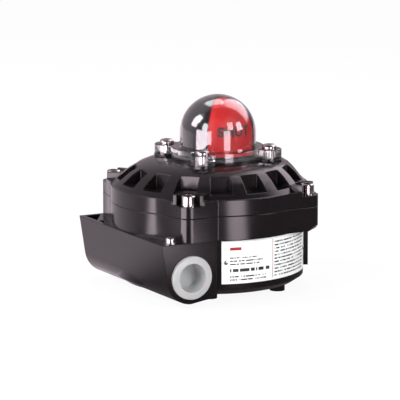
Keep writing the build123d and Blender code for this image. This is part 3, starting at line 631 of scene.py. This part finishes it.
@dataclass(frozen=True)
class Wrap:
    """Round surface that flat artwork is laid on: a drum, closed by a ball above centre_z."""

    axis_x: float
    radius: float
    centre_z: float
    facing: float = 0.0         # degrees from the front, towards the +X side

    def lay(self, flat: Vector) -> Vector:
        """Place one point of the artwork.

        Args:
            flat: x along the surface from its middle, y up from centre_z, z out of the surface.

        Returns:
            The point on the piece.
        """
        turn = math.radians(self.facing) + flat.x / self.radius
        climb = max(flat.y, 0.0) / self.radius
        out = (self.radius + flat.z) * math.cos(climb)
        up = flat.y if flat.y < 0.0 else (self.radius + flat.z) * math.sin(climb)
        return Vector((self.axis_x + out * math.sin(turn), -out * math.cos(turn), self.centre_z + up))


# ---------------------------------------------------------------- sub-assemblies


@dataclass
class SolidDresser:
    """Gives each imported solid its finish, and a smooth skin to those that show."""

    materials: dict[Slot, bpy.types.Material] = field(default_factory=dict)
    weld: float = 0.002 * MM

    def mix_finishes(self) -> None:
        """Make the material of every slot."""
        for slot, finish in FINISHES.items():
            self.materials[slot] = finish.build()
            LOG.info("finish %s", finish.name)

    def mount(self, piece: bpy.types.Object, slot: Slot, body: Body) -> None:
        """Give a piece its finish and let it ride on a body.

        Args:
            piece: the piece.
            slot: the slot of its finish.
            body: the body.
        """
        piece.data.materials.clear()
        piece.data.materials.append(self.materials[slot])
        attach(piece, body.value)
        LOG.info("piece %s, %d faces", piece.name, len(piece.data.polygons))

    def slot_of(self, node: str) -> Slot:
        """Slot that the record gives a node.

        Args:
            node: the node's name.

        Returns:
            The slot.
        """
        rows = {row["node"]: row["material_slot"] for row in frame["record"]["subparts"]}
        return Slot(rows[node])

    def dress_nodes(self) -> None:
        """Assign each node's finish to its material slots."""
        for node, piece in frame["nodes"].items():
            finish = self.materials[self.slot_of(node)]
            if not piece.material_slots:
                piece.data.materials.append(finish)
            for place in piece.material_slots:
                place.material = finish
            LOG.info("node %s in %s", node, finish.name)

    def skin(self, node: str, name: str, body: Body, smooth: float) -> bpy.types.Object:
        """Replace a node by a welded copy that shades smooth.

        Args:
            node: the node's name.
            name: the new piece's name.
            body: the body that it rides on.
            smooth: degrees up to which faces shade as one.

        Returns:
            The new piece.
        """
        piece = bpy.data.objects.new(name, frame["nodes"][node].data.copy())
        bpy.context.scene.collection.objects.link(piece)
        select_only(piece)
        bpy.ops.mesh.customdata_custom_splitnormals_clear()
        with editing(piece):
            bpy.ops.mesh.remove_doubles(threshold=self.weld)
        settle(piece, name, smooth)
        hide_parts(node)
        self.mount(piece, self.slot_of(node), body)
        return piece


@dataclass
class DomeFit:
    """Thins the clear dome's wall from inside and swells what it covers, up close to its surface."""

    centre_z: float = 112.8 * MM
    bore: float = 26.3 * MM         # the dome's inner radius as packed
    wide_bore: float = 27.35 * MM
    mask: float = 25.9 * MM         # the mask's outer radius as packed
    wide_mask: float = 27.15 * MM
    vane: float = 24.3 * MM         # the vanes' outer radius as packed
    wide_vane: float = 26.2 * MM
    slack: float = 0.1 * MM

    def swell(self, point: Vector, factor: float) -> Vector:
        """Move a point away from the dome's axis, and above the centre from the centre.

        Args:
            point: the point.
            factor: how many times as far it ends up.

        Returns:
            Its new place.
        """
        up = max(0.0, point.z - self.centre_z)
        return Vector((point.x * factor, point.y * factor, point.z + up * (factor - 1.0)))

    def widen(self, mask: bpy.types.Object, *vanes: bpy.types.Object) -> None:
        """Swell the pieces that stand under the dome.

        Args:
            mask: the mask's skin.
            vanes: the vanes' skins.
        """
        reshape(mask, lambda point: self.swell(point, self.wide_mask / self.mask))
        for piece in vanes:
            reshape(piece, lambda point: self.swell(point, self.wide_vane / self.vane))

    def thin(self, lens: bpy.types.Object) -> None:
        """Move the lens's inner surface outwards.

        Args:
            lens: the lens's skin.
        """
        def moved(point: Vector) -> Vector:
            """New place of one point."""
            up = max(0.0, point.z - self.centre_z)
            inside = Vector((point.x, point.y, up)).length < self.bore + self.slack
            return self.swell(point, self.wide_bore / self.bore) if inside else point

        reshape(lens, moved)


@dataclass
class PartingLine:
    """Breaks the outer edges where the cover meets the body, so that the joint shows as a fine groove."""

    split_z: float = 64.5 * MM
    outside: float = 66.5 * MM      # least distance of the outline from the housing's centre
    width: float = 0.35 * MM
    segments: int = 2
    slack: float = 0.01 * MM
    upright: float = 0.1            # most that an upright face's normal leans up or down
    flat: float = 0.9               # least that a flat face's normal does

    def open(self, skin: bpy.types.Object) -> None:
        """Bevel the outline of one skin at the joint.

        Args:
            skin: the cover's or the body's skin.
        """
        with editing(skin, "DESELECT", "EDGE"):
            pass
        points = skin.data.vertices
        facings: dict[int, list[float]] = {}
        for face in skin.data.polygons:
            for loop in face.loop_indices:
                facings.setdefault(skin.data.loops[loop].edge_index, []).append(abs(face.normal.z))
        chosen = 0
        for edge in skin.data.edges:
            ends = [points[index].co for index in edge.vertices]
            level = all(abs(end.z - self.split_z) < self.slack for end in ends)
            outer = all(math.hypot(end.x - HOUSING_X, end.y) > self.outside for end in ends)
            sides = facings.get(edge.index, [])
            corner = len(sides) == 2 and min(sides) < self.upright and max(sides) > self.flat
            edge.select = level and outer and corner
            chosen += edge.select
        bpy.ops.object.mode_set(mode="EDIT")
        bpy.ops.mesh.bevel(offset=self.width, segments=self.segments, clamp_overlap=False)
        bpy.ops.object.mode_set(mode="OBJECT")
        settle(skin, skin.name, CASTING_SMOOTH)
        LOG.info("parting line of %s along %d edges", skin.name, chosen)


@dataclass
class OpenWells:
    """Opens the outer half of the wells round the cover bolts, so that the heads stand free."""

    bolt_x: float = 48.5 * MM
    bolt_y: float = 58.0 * MM
    reach: float = 11.6 * MM
    seat_z: float = 73.0 * MM
    top_z: float = 84.0 * MM
    start: float = 0.6 * MM         # the cut's face, outwards from the bolt's axis
    sides: int = 48

    def cut(self, cover: bpy.types.Object) -> None:
        """Cut all four wells.

        Args:
            cover: the cover's skin.
        """
        for side_x in (-1, 1):
            for side_y in (-1, 1):
                self._cut_one(cover, Vector((side_x * self.bolt_x, side_y * self.bolt_y, 0.0)))
        settle(cover, cover.name, CASTING_SMOOTH)
        LOG.info("opened the wells of %s", cover.name)

    def _cut_one(self, cover: bpy.types.Object, bolt: Vector) -> None:
        """Cut one well with half a drum.

        Args:
            cover: the cover's skin.
            bolt: the bolt's place from the housing's centre.
        """
        out = bolt.normalized()
        centre = bolt + Vector((HOUSING_X, 0.0, 0.5 * (self.seat_z + self.top_z)))
        bpy.ops.object.select_all(action="DESELECT")
        bpy.ops.mesh.primitive_cylinder_add(vertices=self.sides, radius=self.reach,
                                            depth=self.top_z - self.seat_z, location=centre)
        drum = bpy.context.object
        bpy.ops.object.transform_apply(location=True, rotation=True, scale=True)
        with editing(drum):
            bpy.ops.mesh.bisect(plane_co=centre + out * self.start, plane_no=out, use_fill=True,
                                clear_inner=True)
        select_only(cover)
        cutter = cover.modifiers.new("well", "BOOLEAN")
        cutter.operation = "DIFFERENCE"
        cutter.solver = "EXACT"
        cutter.object = drum
        bpy.ops.object.modifier_apply(modifier=cutter.name)
        bpy.data.objects.remove(drum)


@dataclass
class IndicatorWords:
    """Plain words on the rotor's vanes, laid on their outer face."""

    radius: float = 26.2 * MM
    centre_z: float = 112.8 * MM
    letter_h: float = 7.6 * MM
    rise: float = 0.2 * MM          # foot of the letters above the ball's centre
    thick: float = 0.06 * MM
    half_w: float = 13.5 * MM
    cut: float = 0.8 * MM
    bold: float = 0.045             # how far the strokes are widened, as a share of the type's size
    sunk: float = 0.3               # share of the thickness that is below the vane's face

    def build(self, dresser: SolidDresser) -> None:
        """Make the four words.

        Args:
            dresser: holds the finishes.
        """
        for word, facings in (("SHUT", (0.0, 180.0)), ("OPEN", (90.0, 270.0))):
            for number, facing in enumerate(facings):
                piece = self._word(word, facing, word.lower() + "_word_" + str(number + 1))
                dresser.mount(piece, Slot.HUB, Body.ROTOR)

    def _word(self, word: str, facing: float, name: str) -> bpy.types.Object:
        """Model one word and bend it onto its vane.

        Args:
            word: the letters.
            facing: degrees from the front.
            name: the piece's name.

        Returns:
            The piece.
        """
        bpy.ops.object.select_all(action="DESELECT")
        bpy.ops.object.text_add(location=(0, 0, 0))
        piece = bpy.context.object
        piece.data.body = word
        piece.data.align_x = "CENTER"
        piece.data.size = 1.0
        piece.data.offset = self.bold
        piece.data.extrude = 0.5
        select_only(piece)
        bpy.ops.object.convert(target="MESH")
        lows = [min(vertex.co[axis] for vertex in piece.data.vertices) for axis in range(3)]
        highs = [max(vertex.co[axis] for vertex in piece.data.vertices) for axis in range(3)]
        spans = [high - low for low, high in zip(lows, highs)]
        size = Vector((2 * self.half_w, self.letter_h, self.thick))

        def scaled(point: Vector) -> Vector:
            """Fit the letters to their field."""
            shares = [(point[axis] - lows[axis]) / spans[axis] for axis in range(3)]
            across, up, out = shares
            return Vector(((across - 0.5) * size.x, up * size.y + self.rise, (out - self.sunk) * size.z))

        reshape(piece, scaled)
        slice_evenly(piece, Vector((1, 0, 0)), -self.half_w, self.half_w, self.cut)
        slice_evenly(piece, Vector((0, 1, 0)), self.rise, self.rise + self.letter_h, self.cut)
        reshape(piece, Wrap(0.0, self.radius, self.centre_z, facing).lay)
        return settle(piece, name, PRINT_SMOOTH)


@dataclass(frozen=True)
class PrintBlock:
    """Block of ruled lines that stand for words."""

    in_right_column: bool
    top: float                      # height of its first line
    spans: tuple[float, ...]        # each line's length as a share of the column
    pitch: float
    height: float
    cell: float                     # length of the shortest stroke
    fill: float                     # share of a line that is inked
    short: float = 0.0              # how far it stops before the divider


@dataclass
class DataPlate:
    """Printed nameplate on the round wall, with its two drive pins."""

    radius: float = 69.0 * MM
    start: float = -21.3            # degrees from the front, towards the +X side
    stop: float = 53.5
    left_margin: float = 5.0        # degrees
    right_margin: float = 6.0
    low_z: float = 15.0 * MM
    high_z: float = 46.2 * MM
    above: float = 0.2              # a height above the plate, below which the wall is a plain drum
    ink: float = 0.03 * MM
    sunk: float = 0.3               # share of the ink that is below the sheet's face
    divider: float = 12.4           # degrees from the front
    gutter: float = 2.0 * MM
    rule_w: float = 0.45 * MM
    rule_inset: float = 1.6 * MM
    flag_w: float = 8.5 * MM
    flag_low_z: float = 39.2 * MM
    flag_high_z: float = 41.4 * MM
    bend: float = 1.5 * MM          # length of one flat facet of a bar
    pin_r: float = 1.6 * MM
    pin_h: float = 0.9 * MM
    pin_sides: int = 32
    pin_round: float = 0.7          # share of the head's height that is rounded
    pin_segments: int = 5
    pin_profile: float = 0.6
    pin_proud: float = 0.4          # share of the height from the wall to the head's middle
    pin_inset: float = 2.6          # degrees in from the plate's ends
    seed: int = 11
    blocks: tuple[PrintBlock, ...] = (
        PrintBlock(True, 43.0 * MM, (1.0,) * 11, 2.45 * MM, 1.0 * MM, 0.55 * MM, 0.70),
        PrintBlock(False, 34.2 * MM, (0.60, 0.74, 0.66), 2.3 * MM, 0.9 * MM, 0.55 * MM, 0.70),
        PrintBlock(False, 25.8 * MM, (1.0,), 0.0, 2.3 * MM, 1.05 * MM, 0.86, 3.0 * MM),
        PrintBlock(False, 20.6 * MM, (1.0, 1.0), 2.3 * MM, 1.0 * MM, 0.6 * MM, 0.60, 6.0 * MM),
    )

    def place(self, degrees: float) -> float:
        """Distance along the plate from the front.

        Args:
            degrees: the angle from the front.

        Returns:
            The distance.
        """
        return math.radians(degrees) * self.radius

    def build(self, dresser: SolidDresser) -> None:
        """Make the print and the pins.

        Args:
            dresser: holds the finishes.
        """
        draw = random.Random(self.seed)
        left = self.place(self.start + self.left_margin)
        split = self.place(self.divider)
        right = self.place(self.stop - self.right_margin)
        dark = []
        for block in self.blocks:
            first = split + self.gutter if block.in_right_column else left
            last = right if block.in_right_column else split - block.short
            for row, span in enumerate(block.spans):
                end = first + (last - first) * span
                dark.append(self._line(draw, block, first, end, block.top - row * block.pitch))
        dresser.mount(self._join(dark, "nameplate_lines"), Slot.HUB, Body.HOUSING)
        red = [
            self._bar(split, split + self.rule_w, self.low_z + self.rule_inset, self.high_z - self.rule_inset),
            self._bar(left, left + self.flag_w, self.flag_low_z, self.flag_high_z),
        ]
        dresser.mount(self._join(red, "nameplate_rules"), Slot.RED, Body.HOUSING)
        for number, degrees in enumerate((self.start + self.pin_inset, self.stop - self.pin_inset)):
            pin = self._pin(degrees, "nameplate_pin_" + str(number + 1))
            dresser.mount(pin, Slot.STAINLESS, Body.HOUSING)

    def _strip(self, cells: int) -> bpy.types.Object:
        """Flat square of side 1 about the origin, cut across into cells.

        Args:
            cells: how many.

        Returns:
            The square.
        """
        bpy.ops.object.select_all(action="DESELECT")
        bpy.ops.mesh.primitive_grid_add(x_subdivisions=cells, y_subdivisions=1, size=1.0)
        return bpy.context.object

    def _spread(self, strip: bpy.types.Object, left: float, right: float, low: float, high: float) -> None:
        """Stretch a strip over its place on the flat plate and give it the ink's thickness.

        Args:
            strip: the strip.
            left: its left edge along the plate.
            right: its right edge.
            low: its lower edge.
            high: its upper edge.
        """
        size = Vector((right - left, high - low))
        reshape(strip, lambda p: Vector((left + (p.x + 0.5) * size.x, low + (p.y + 0.5) * size.y, 0.0)))
        with editing(strip):
            bpy.ops.mesh.extrude_region_move(TRANSFORM_OT_translate={"value": (0, 0, self.ink)})
            bpy.ops.mesh.select_all(action="SELECT")
            bpy.ops.mesh.normals_make_consistent(inside=False)

    def _bar(self, left: float, right: float, low: float, high: float) -> bpy.types.Object:
        """Flat printed bar, subdivided so that it can bend.

        Args:
            left: its left edge along the plate.
            right: its right edge.
            low: its lower edge.
            high: its upper edge.

        Returns:
            The bar, still flat.
        """
        bar = self._strip(max(1, round((right - left) / self.bend)))
        self._spread(bar, left, right, low, high)
        return bar

    def _line(self, draw: random.Random, block: PrintBlock, left: float, right: float,
              top: float) -> bpy.types.Object:
        """One ruled line of short strokes.

        Args:
            draw: source of the strokes' lengths.
            block: the block that it belongs to.
            left: its left edge along the plate.
            right: its right edge.
            top: its upper edge.

        Returns:
            The line, still flat.
        """
        cells = max(2, round((right - left) / block.cell))
        line = self._strip(cells)
        blank = [draw.random() > block.fill for _ in range(cells)]
        blank[0] = False
        choose_faces(line, lambda centre, normal: blank[min(cells - 1, int((centre.x + 0.5) * cells))])
        bpy.ops.mesh.delete(type="FACE")
        bpy.ops.object.mode_set(mode="OBJECT")
        self._spread(line, left, right, top - block.height, top)
        return line

    def _join(self, parts: list[bpy.types.Object], name: str) -> bpy.types.Object:
        """Join flat parts and bend them onto the plate.

        Args:
            parts: the flat parts.
            name: the piece's name.

        Returns:
            The piece.
        """
        select_only(*parts)
        bpy.ops.object.join()
        piece = bpy.context.object
        wrap = Wrap(HOUSING_X, self.radius, self.above)
        reshape(piece, lambda p: wrap.lay(Vector((p.x, p.y - self.above, p.z - self.sunk * self.ink))))
        return settle(piece, name, PRINT_SMOOTH)

    def _pin(self, degrees: float, name: str) -> bpy.types.Object:
        """Drive pin with a domed head.

        Args:
            degrees: its place from the front.
            name: the piece's name.

        Returns:
            The pin.
        """
        turn = math.radians(degrees)
        bpy.ops.object.select_all(action="DESELECT")
        bpy.ops.mesh.primitive_cylinder_add(vertices=self.pin_sides, radius=self.pin_r, depth=self.pin_h)
        pin = bpy.context.object
        choose_faces(pin, lambda centre, normal: centre.z > 0.0 and normal.z > 0.5)
        bpy.ops.mesh.bevel(offset=self.pin_round * self.pin_h, segments=self.pin_segments,
                           profile=self.pin_profile)
        bpy.ops.object.mode_set(mode="OBJECT")
        out = Vector((math.sin(turn), -math.cos(turn), 0.0))
        height = Vector((HOUSING_X, 0.0, 0.5 * (self.low_z + self.high_z)))
        middle = height + out * (self.radius + self.pin_proud * self.pin_h)
        pin.matrix_world = Matrix.Translation(middle) @ out.to_track_quat("Z", "Y").to_matrix().to_4x4()
        return settle(pin, name, PIN_SMOOTH)


# ---------------------------------------------------------------- studio


@dataclass(frozen=True)
class Softbox:
    """One studio lamp that lights the object, aimed from a direction in the camera's own axes."""

    name: str
    aim: tuple[float, float, float]     # towards the camera's right, up and back
    distance: float
    width: float
    height: float
    watts: float


@dataclass(frozen=True)
class Panel:
    """White panel that only gloss shows, as an angle round the object and a height above it."""

    start: float        # degrees from the camera, to its right
    stop: float
    low: float          # degrees above the horizon
    high: float
    strength: float
    soft: float = 7.0   # degrees over which it fades


@dataclass
class Studio:
    """White floor, soft lamps and the camera."""

    azimuth: float = -28.46
    elevation: float = 10.73
    distance: float = 2.5
    lens: float = 308.3             # millimetres
    sensor: float = 36.0            # millimetres
    clip: tuple[float, float] = (0.1, 60.0)
    aside: float = -12.93 * MM      # the aim, to the camera's right of the shaft
    aim_z: float = 62.5 * MM
    floor_size: float = 12.0
    floor_tone: Colour = rgb(0.85, 0.85, 0.85)
    floor_glow: float = 0.93        # share of the floor's white that needs no light
    ambient: float = 0.42
    room: float = 0.07              # what gloss shows of the dark room in front
    paper: float = 0.85             # what it shows of the white paper on the floor, behind and to the left
    wall: float = 0.45              # and of the paper's dimmer rise above the horizon
    near: float = 0.17              # the panels' own light starts this far out on the floor
    far: float = 0.28
    floor_room: float = 2.0         # how much brighter the room's dark is on the floor
    left_fade: tuple[float, float] = (-100.0, -58.0)    # degrees over which the paper gives way
    right_fade: tuple[float, float] = (120.0, 175.0)
    tint: Colour = rgb(1.0, 0.86, 0.94)
    softboxes: tuple[Softbox, ...] = (
        Softbox("key_left_high", (-0.80, 0.60, 0.30), 1.6, 0.5, 0.5, 18.0),
        Softbox("left_front", (-0.60, 0.25, 0.75), 1.7, 0.5, 0.6, 14.0),
        Softbox("right_front", (0.60, 0.30, 0.75), 1.7, 0.5, 0.6, 16.0),
        Softbox("overhead", (-0.10, 0.97, -0.20), 1.6, 0.9, 0.7, 12.0),
    )
    panels: tuple[Panel, ...] = (
        Panel(-66.0, -22.0, -60.0, 8.0, 8.0, 4.0),
        Panel(21.0, 35.0, -60.0, 8.0, 7.0, 5.0),
        Panel(-94.0, -74.0, 16.0, 36.0, 8.0, 3.0),
        Panel(64.0, 80.0, 9.0, 26.0, 8.0, 3.0),
        Panel(112.0, 158.0, 20.0, 60.0, 3.0, 8.0),
    )

    def axes(self) -> tuple[Vector, Vector, Vector]:
        """The camera's right, up and back directions."""
        turn = math.radians(self.azimuth)
        climb = math.radians(self.elevation)
        right = Vector((math.cos(turn), math.sin(turn), 0.0))
        back = Vector((math.sin(turn) * math.cos(climb), -math.cos(turn) * math.cos(climb), math.sin(climb)))
        return right, back.cross(right), back

    def build(self) -> None:
        """Set up the whole studio."""
        right, up, back = self.axes()
        target = right * self.aside + WORLD_UP * self.aim_z
        self._camera(target + back * self.distance, back)
        for box in self.softboxes:
            way = (right * box.aim[0] + up * box.aim[1] + back * box.aim[2]).normalized()
            self._lamp(box, target + way * box.distance, way)
        self._floor()
        self._sky()
        bpy.context.scene.view_settings.view_transform = "Standard"

    def _camera(self, place: Vector, back: Vector) -> None:
        """Add the camera.

        Args:
            place: where it stands.
            back: from the target to the camera.
        """
        camera = bpy.data.objects.new("camera", bpy.data.cameras.new("camera"))
        bpy.context.scene.collection.objects.link(camera)
        camera.data.lens = self.lens
        camera.data.sensor_width = self.sensor
        camera.data.clip_start, camera.data.clip_end = self.clip
        camera.location = place
        camera.rotation_mode = "QUATERNION"
        camera.rotation_quaternion = (-back).to_track_quat("-Z", "Y")
        bpy.context.scene.camera = camera

    def _lamp(self, box: Softbox, place: Vector, way: Vector) -> None:
        """Add one softbox, which the panels stand for in reflections.

        Args:
            box: its sizes and power.
            place: where it hangs.
            way: from the target to the lamp.
        """
        data = bpy.data.lights.new(box.name, "AREA")
        data.shape = "RECTANGLE"
        data.size = box.width
        data.size_y = box.height
        data.energy = box.watts
        lamp = bpy.data.objects.new(box.name, data)
        bpy.context.scene.collection.objects.link(lamp)
        lamp.location = place
        lamp.rotation_mode = "QUATERNION"
        lamp.rotation_quaternion = (-way).to_track_quat("-Z", "Y")
        lamp.visible_glossy = False
        LOG.info("lamp %s", box.name)

    def _mirrored(self, graph: Graph, direction: Wire, low: bool) -> Wire:
        """Strength of what gloss shows in a direction.

        Args:
            graph: the graph to build in.
            direction: the direction from the object.
            low: True on the floor, where every direction is below the horizon.

        Returns:
            The strength.
        """
        right, _, back = self.axes()
        level_back = Vector((back.x, back.y, 0.0)).normalized()
        sideways = graph.along(direction, right)
        forwards = graph.along(direction, level_back)
        turn = sideways.turn_from(forwards)
        left_behind = 1.0 - turn.rise(*map(math.radians, self.left_fade))
        right_behind = turn.rise(*map(math.radians, self.right_fade))
        bright = self.paper if low else self.wall
        dark = self.room * (self.floor_room if low else 1.0)
        total = left_behind.most(right_behind) * (bright - self.room) + dark
        climb = graph.axis(direction, "Z")
        reach = (sideways * sideways + forwards * forwards).rise(self.near**2, self.far**2)
        for panel in self.panels:
            if low and panel.low > 0.0:
                continue
            across = turn.window(*map(math.radians, (panel.start, panel.stop, panel.soft)))
            if low:
                total = across * reach * panel.strength + total
                continue
            low_edge, high_edge = (math.sin(math.radians(edge)) for edge in (panel.low, panel.high))
            upwards = climb.window(low_edge, high_edge, math.radians(panel.soft))
            total = across * upwards * panel.strength + total
        return total

    def _floor(self) -> None:
        """Add the white floor, which keeps a faint shadow."""
        bpy.ops.object.select_all(action="DESELECT")
        bpy.ops.mesh.primitive_plane_add(size=self.floor_size, location=(0, 0, 0))
        floor = bpy.context.object
        floor.name = "studio_floor"
        material, graph = new_material("floor_white")
        paper = graph.node("ShaderNodeBsdfDiffuse", inputs={"Color": self.floor_tone})
        glow = graph.node("ShaderNodeEmission", inputs={"Color": rgb(1, 1, 1), "Strength": 1.0})
        shown = graph.node("ShaderNodeMixShader",
                           inputs={0: graph.clear_view() * self.floor_glow, 1: paper, 2: glow})
        side = self._mirrored(graph, graph.place(), True)
        gloss = graph.node("ShaderNodeEmission", inputs={"Color": self.tint, "Strength": side})
        graph.end(graph.node("ShaderNodeMixShader", inputs={0: graph.mirrored_view(), 1: shown, 2: gloss}))
        floor.data.materials.append(material)

    def _sky(self) -> None:
        """Make the world white to the eye, dimmer as a light, and panelled in reflections."""
        world = bpy.data.worlds.new("studio_world")
        bpy.context.scene.world = world
        world.use_nodes = True
        graph = Graph(world.node_tree)
        seen = graph.clear_view()
        gloss = graph.mirrored_view()
        direction = graph.node("ShaderNodeTexCoord", output="Generated")
        plain = seen * (1.0 - self.ambient) + self.ambient
        strength = gloss * self._mirrored(graph, direction, False) + (1.0 - gloss) * plain
        colour = graph.blend(gloss, rgb(1, 1, 1), self.tint)
        white = graph.node("ShaderNodeBackground", inputs={"Color": colour, "Strength": strength})
        graph.end(white, "ShaderNodeOutputWorld")


# ---------------------------------------------------------------- assembly

SKINS: tuple[tuple[str, str, Body, float], ...] = (
    ("body", "housing_base", Body.HOUSING, CASTING_SMOOTH),
    ("cover", "housing_cover", Body.HOUSING, CASTING_SMOOTH),
    ("cover_bolts", "cap_screws", Body.HOUSING, FITTING_SMOOTH),
    ("cover_spring_washers", "spring_washers", Body.HOUSING, FITTING_SMOOTH),
    ("dome_lens", "clear_dome", Body.HOUSING, FITTING_SMOOTH),
    ("dome_screws", "pan_head_screws", Body.HOUSING, FITTING_SMOOTH),
    ("indicator_mask", "dome_mask", Body.HOUSING, FITTING_SMOOTH),
    ("closed_vanes", "red_vanes", Body.ROTOR, FITTING_SMOOTH),
    ("open_vanes", "yellow_vanes", Body.ROTOR, FITTING_SMOOTH),
    ("dust_plug", "entry_plug", Body.HOUSING, FITTING_SMOOTH),
    ("nameplate", "nameplate_sheet", Body.HOUSING, FITTING_SMOOTH),
    ("earth_screw", "earth_terminal_screw", Body.HOUSING, FITTING_SMOOTH),
    ("earth_washers", "earth_terminal_washers", Body.HOUSING, FITTING_SMOOTH),
    ("shaft", "drive_shaft", Body.ROTOR, FITTING_SMOOTH),
)


def main() -> None:
    """Dress the switch box and set up the studio."""
    Studio().build()
    dresser = SolidDresser()
    dresser.mix_finishes()
    dresser.dress_nodes()
    skins = {node: dresser.skin(node, name, body, smooth) for node, name, body, smooth in SKINS}
    dome = DomeFit()
    dome.thin(skins["dome_lens"])
    dome.widen(skins["indicator_mask"], skins["closed_vanes"], skins["open_vanes"])
    OpenWells().cut(skins["cover"])
    for node in ("cover", "body"):
        PartingLine().open(skins[node])
    IndicatorWords().build(dresser)
    DataPlate().build(dresser)


if __name__ == "__main__":
    logging.basicConfig(level=logging.INFO, format="%(message)s")
    main()
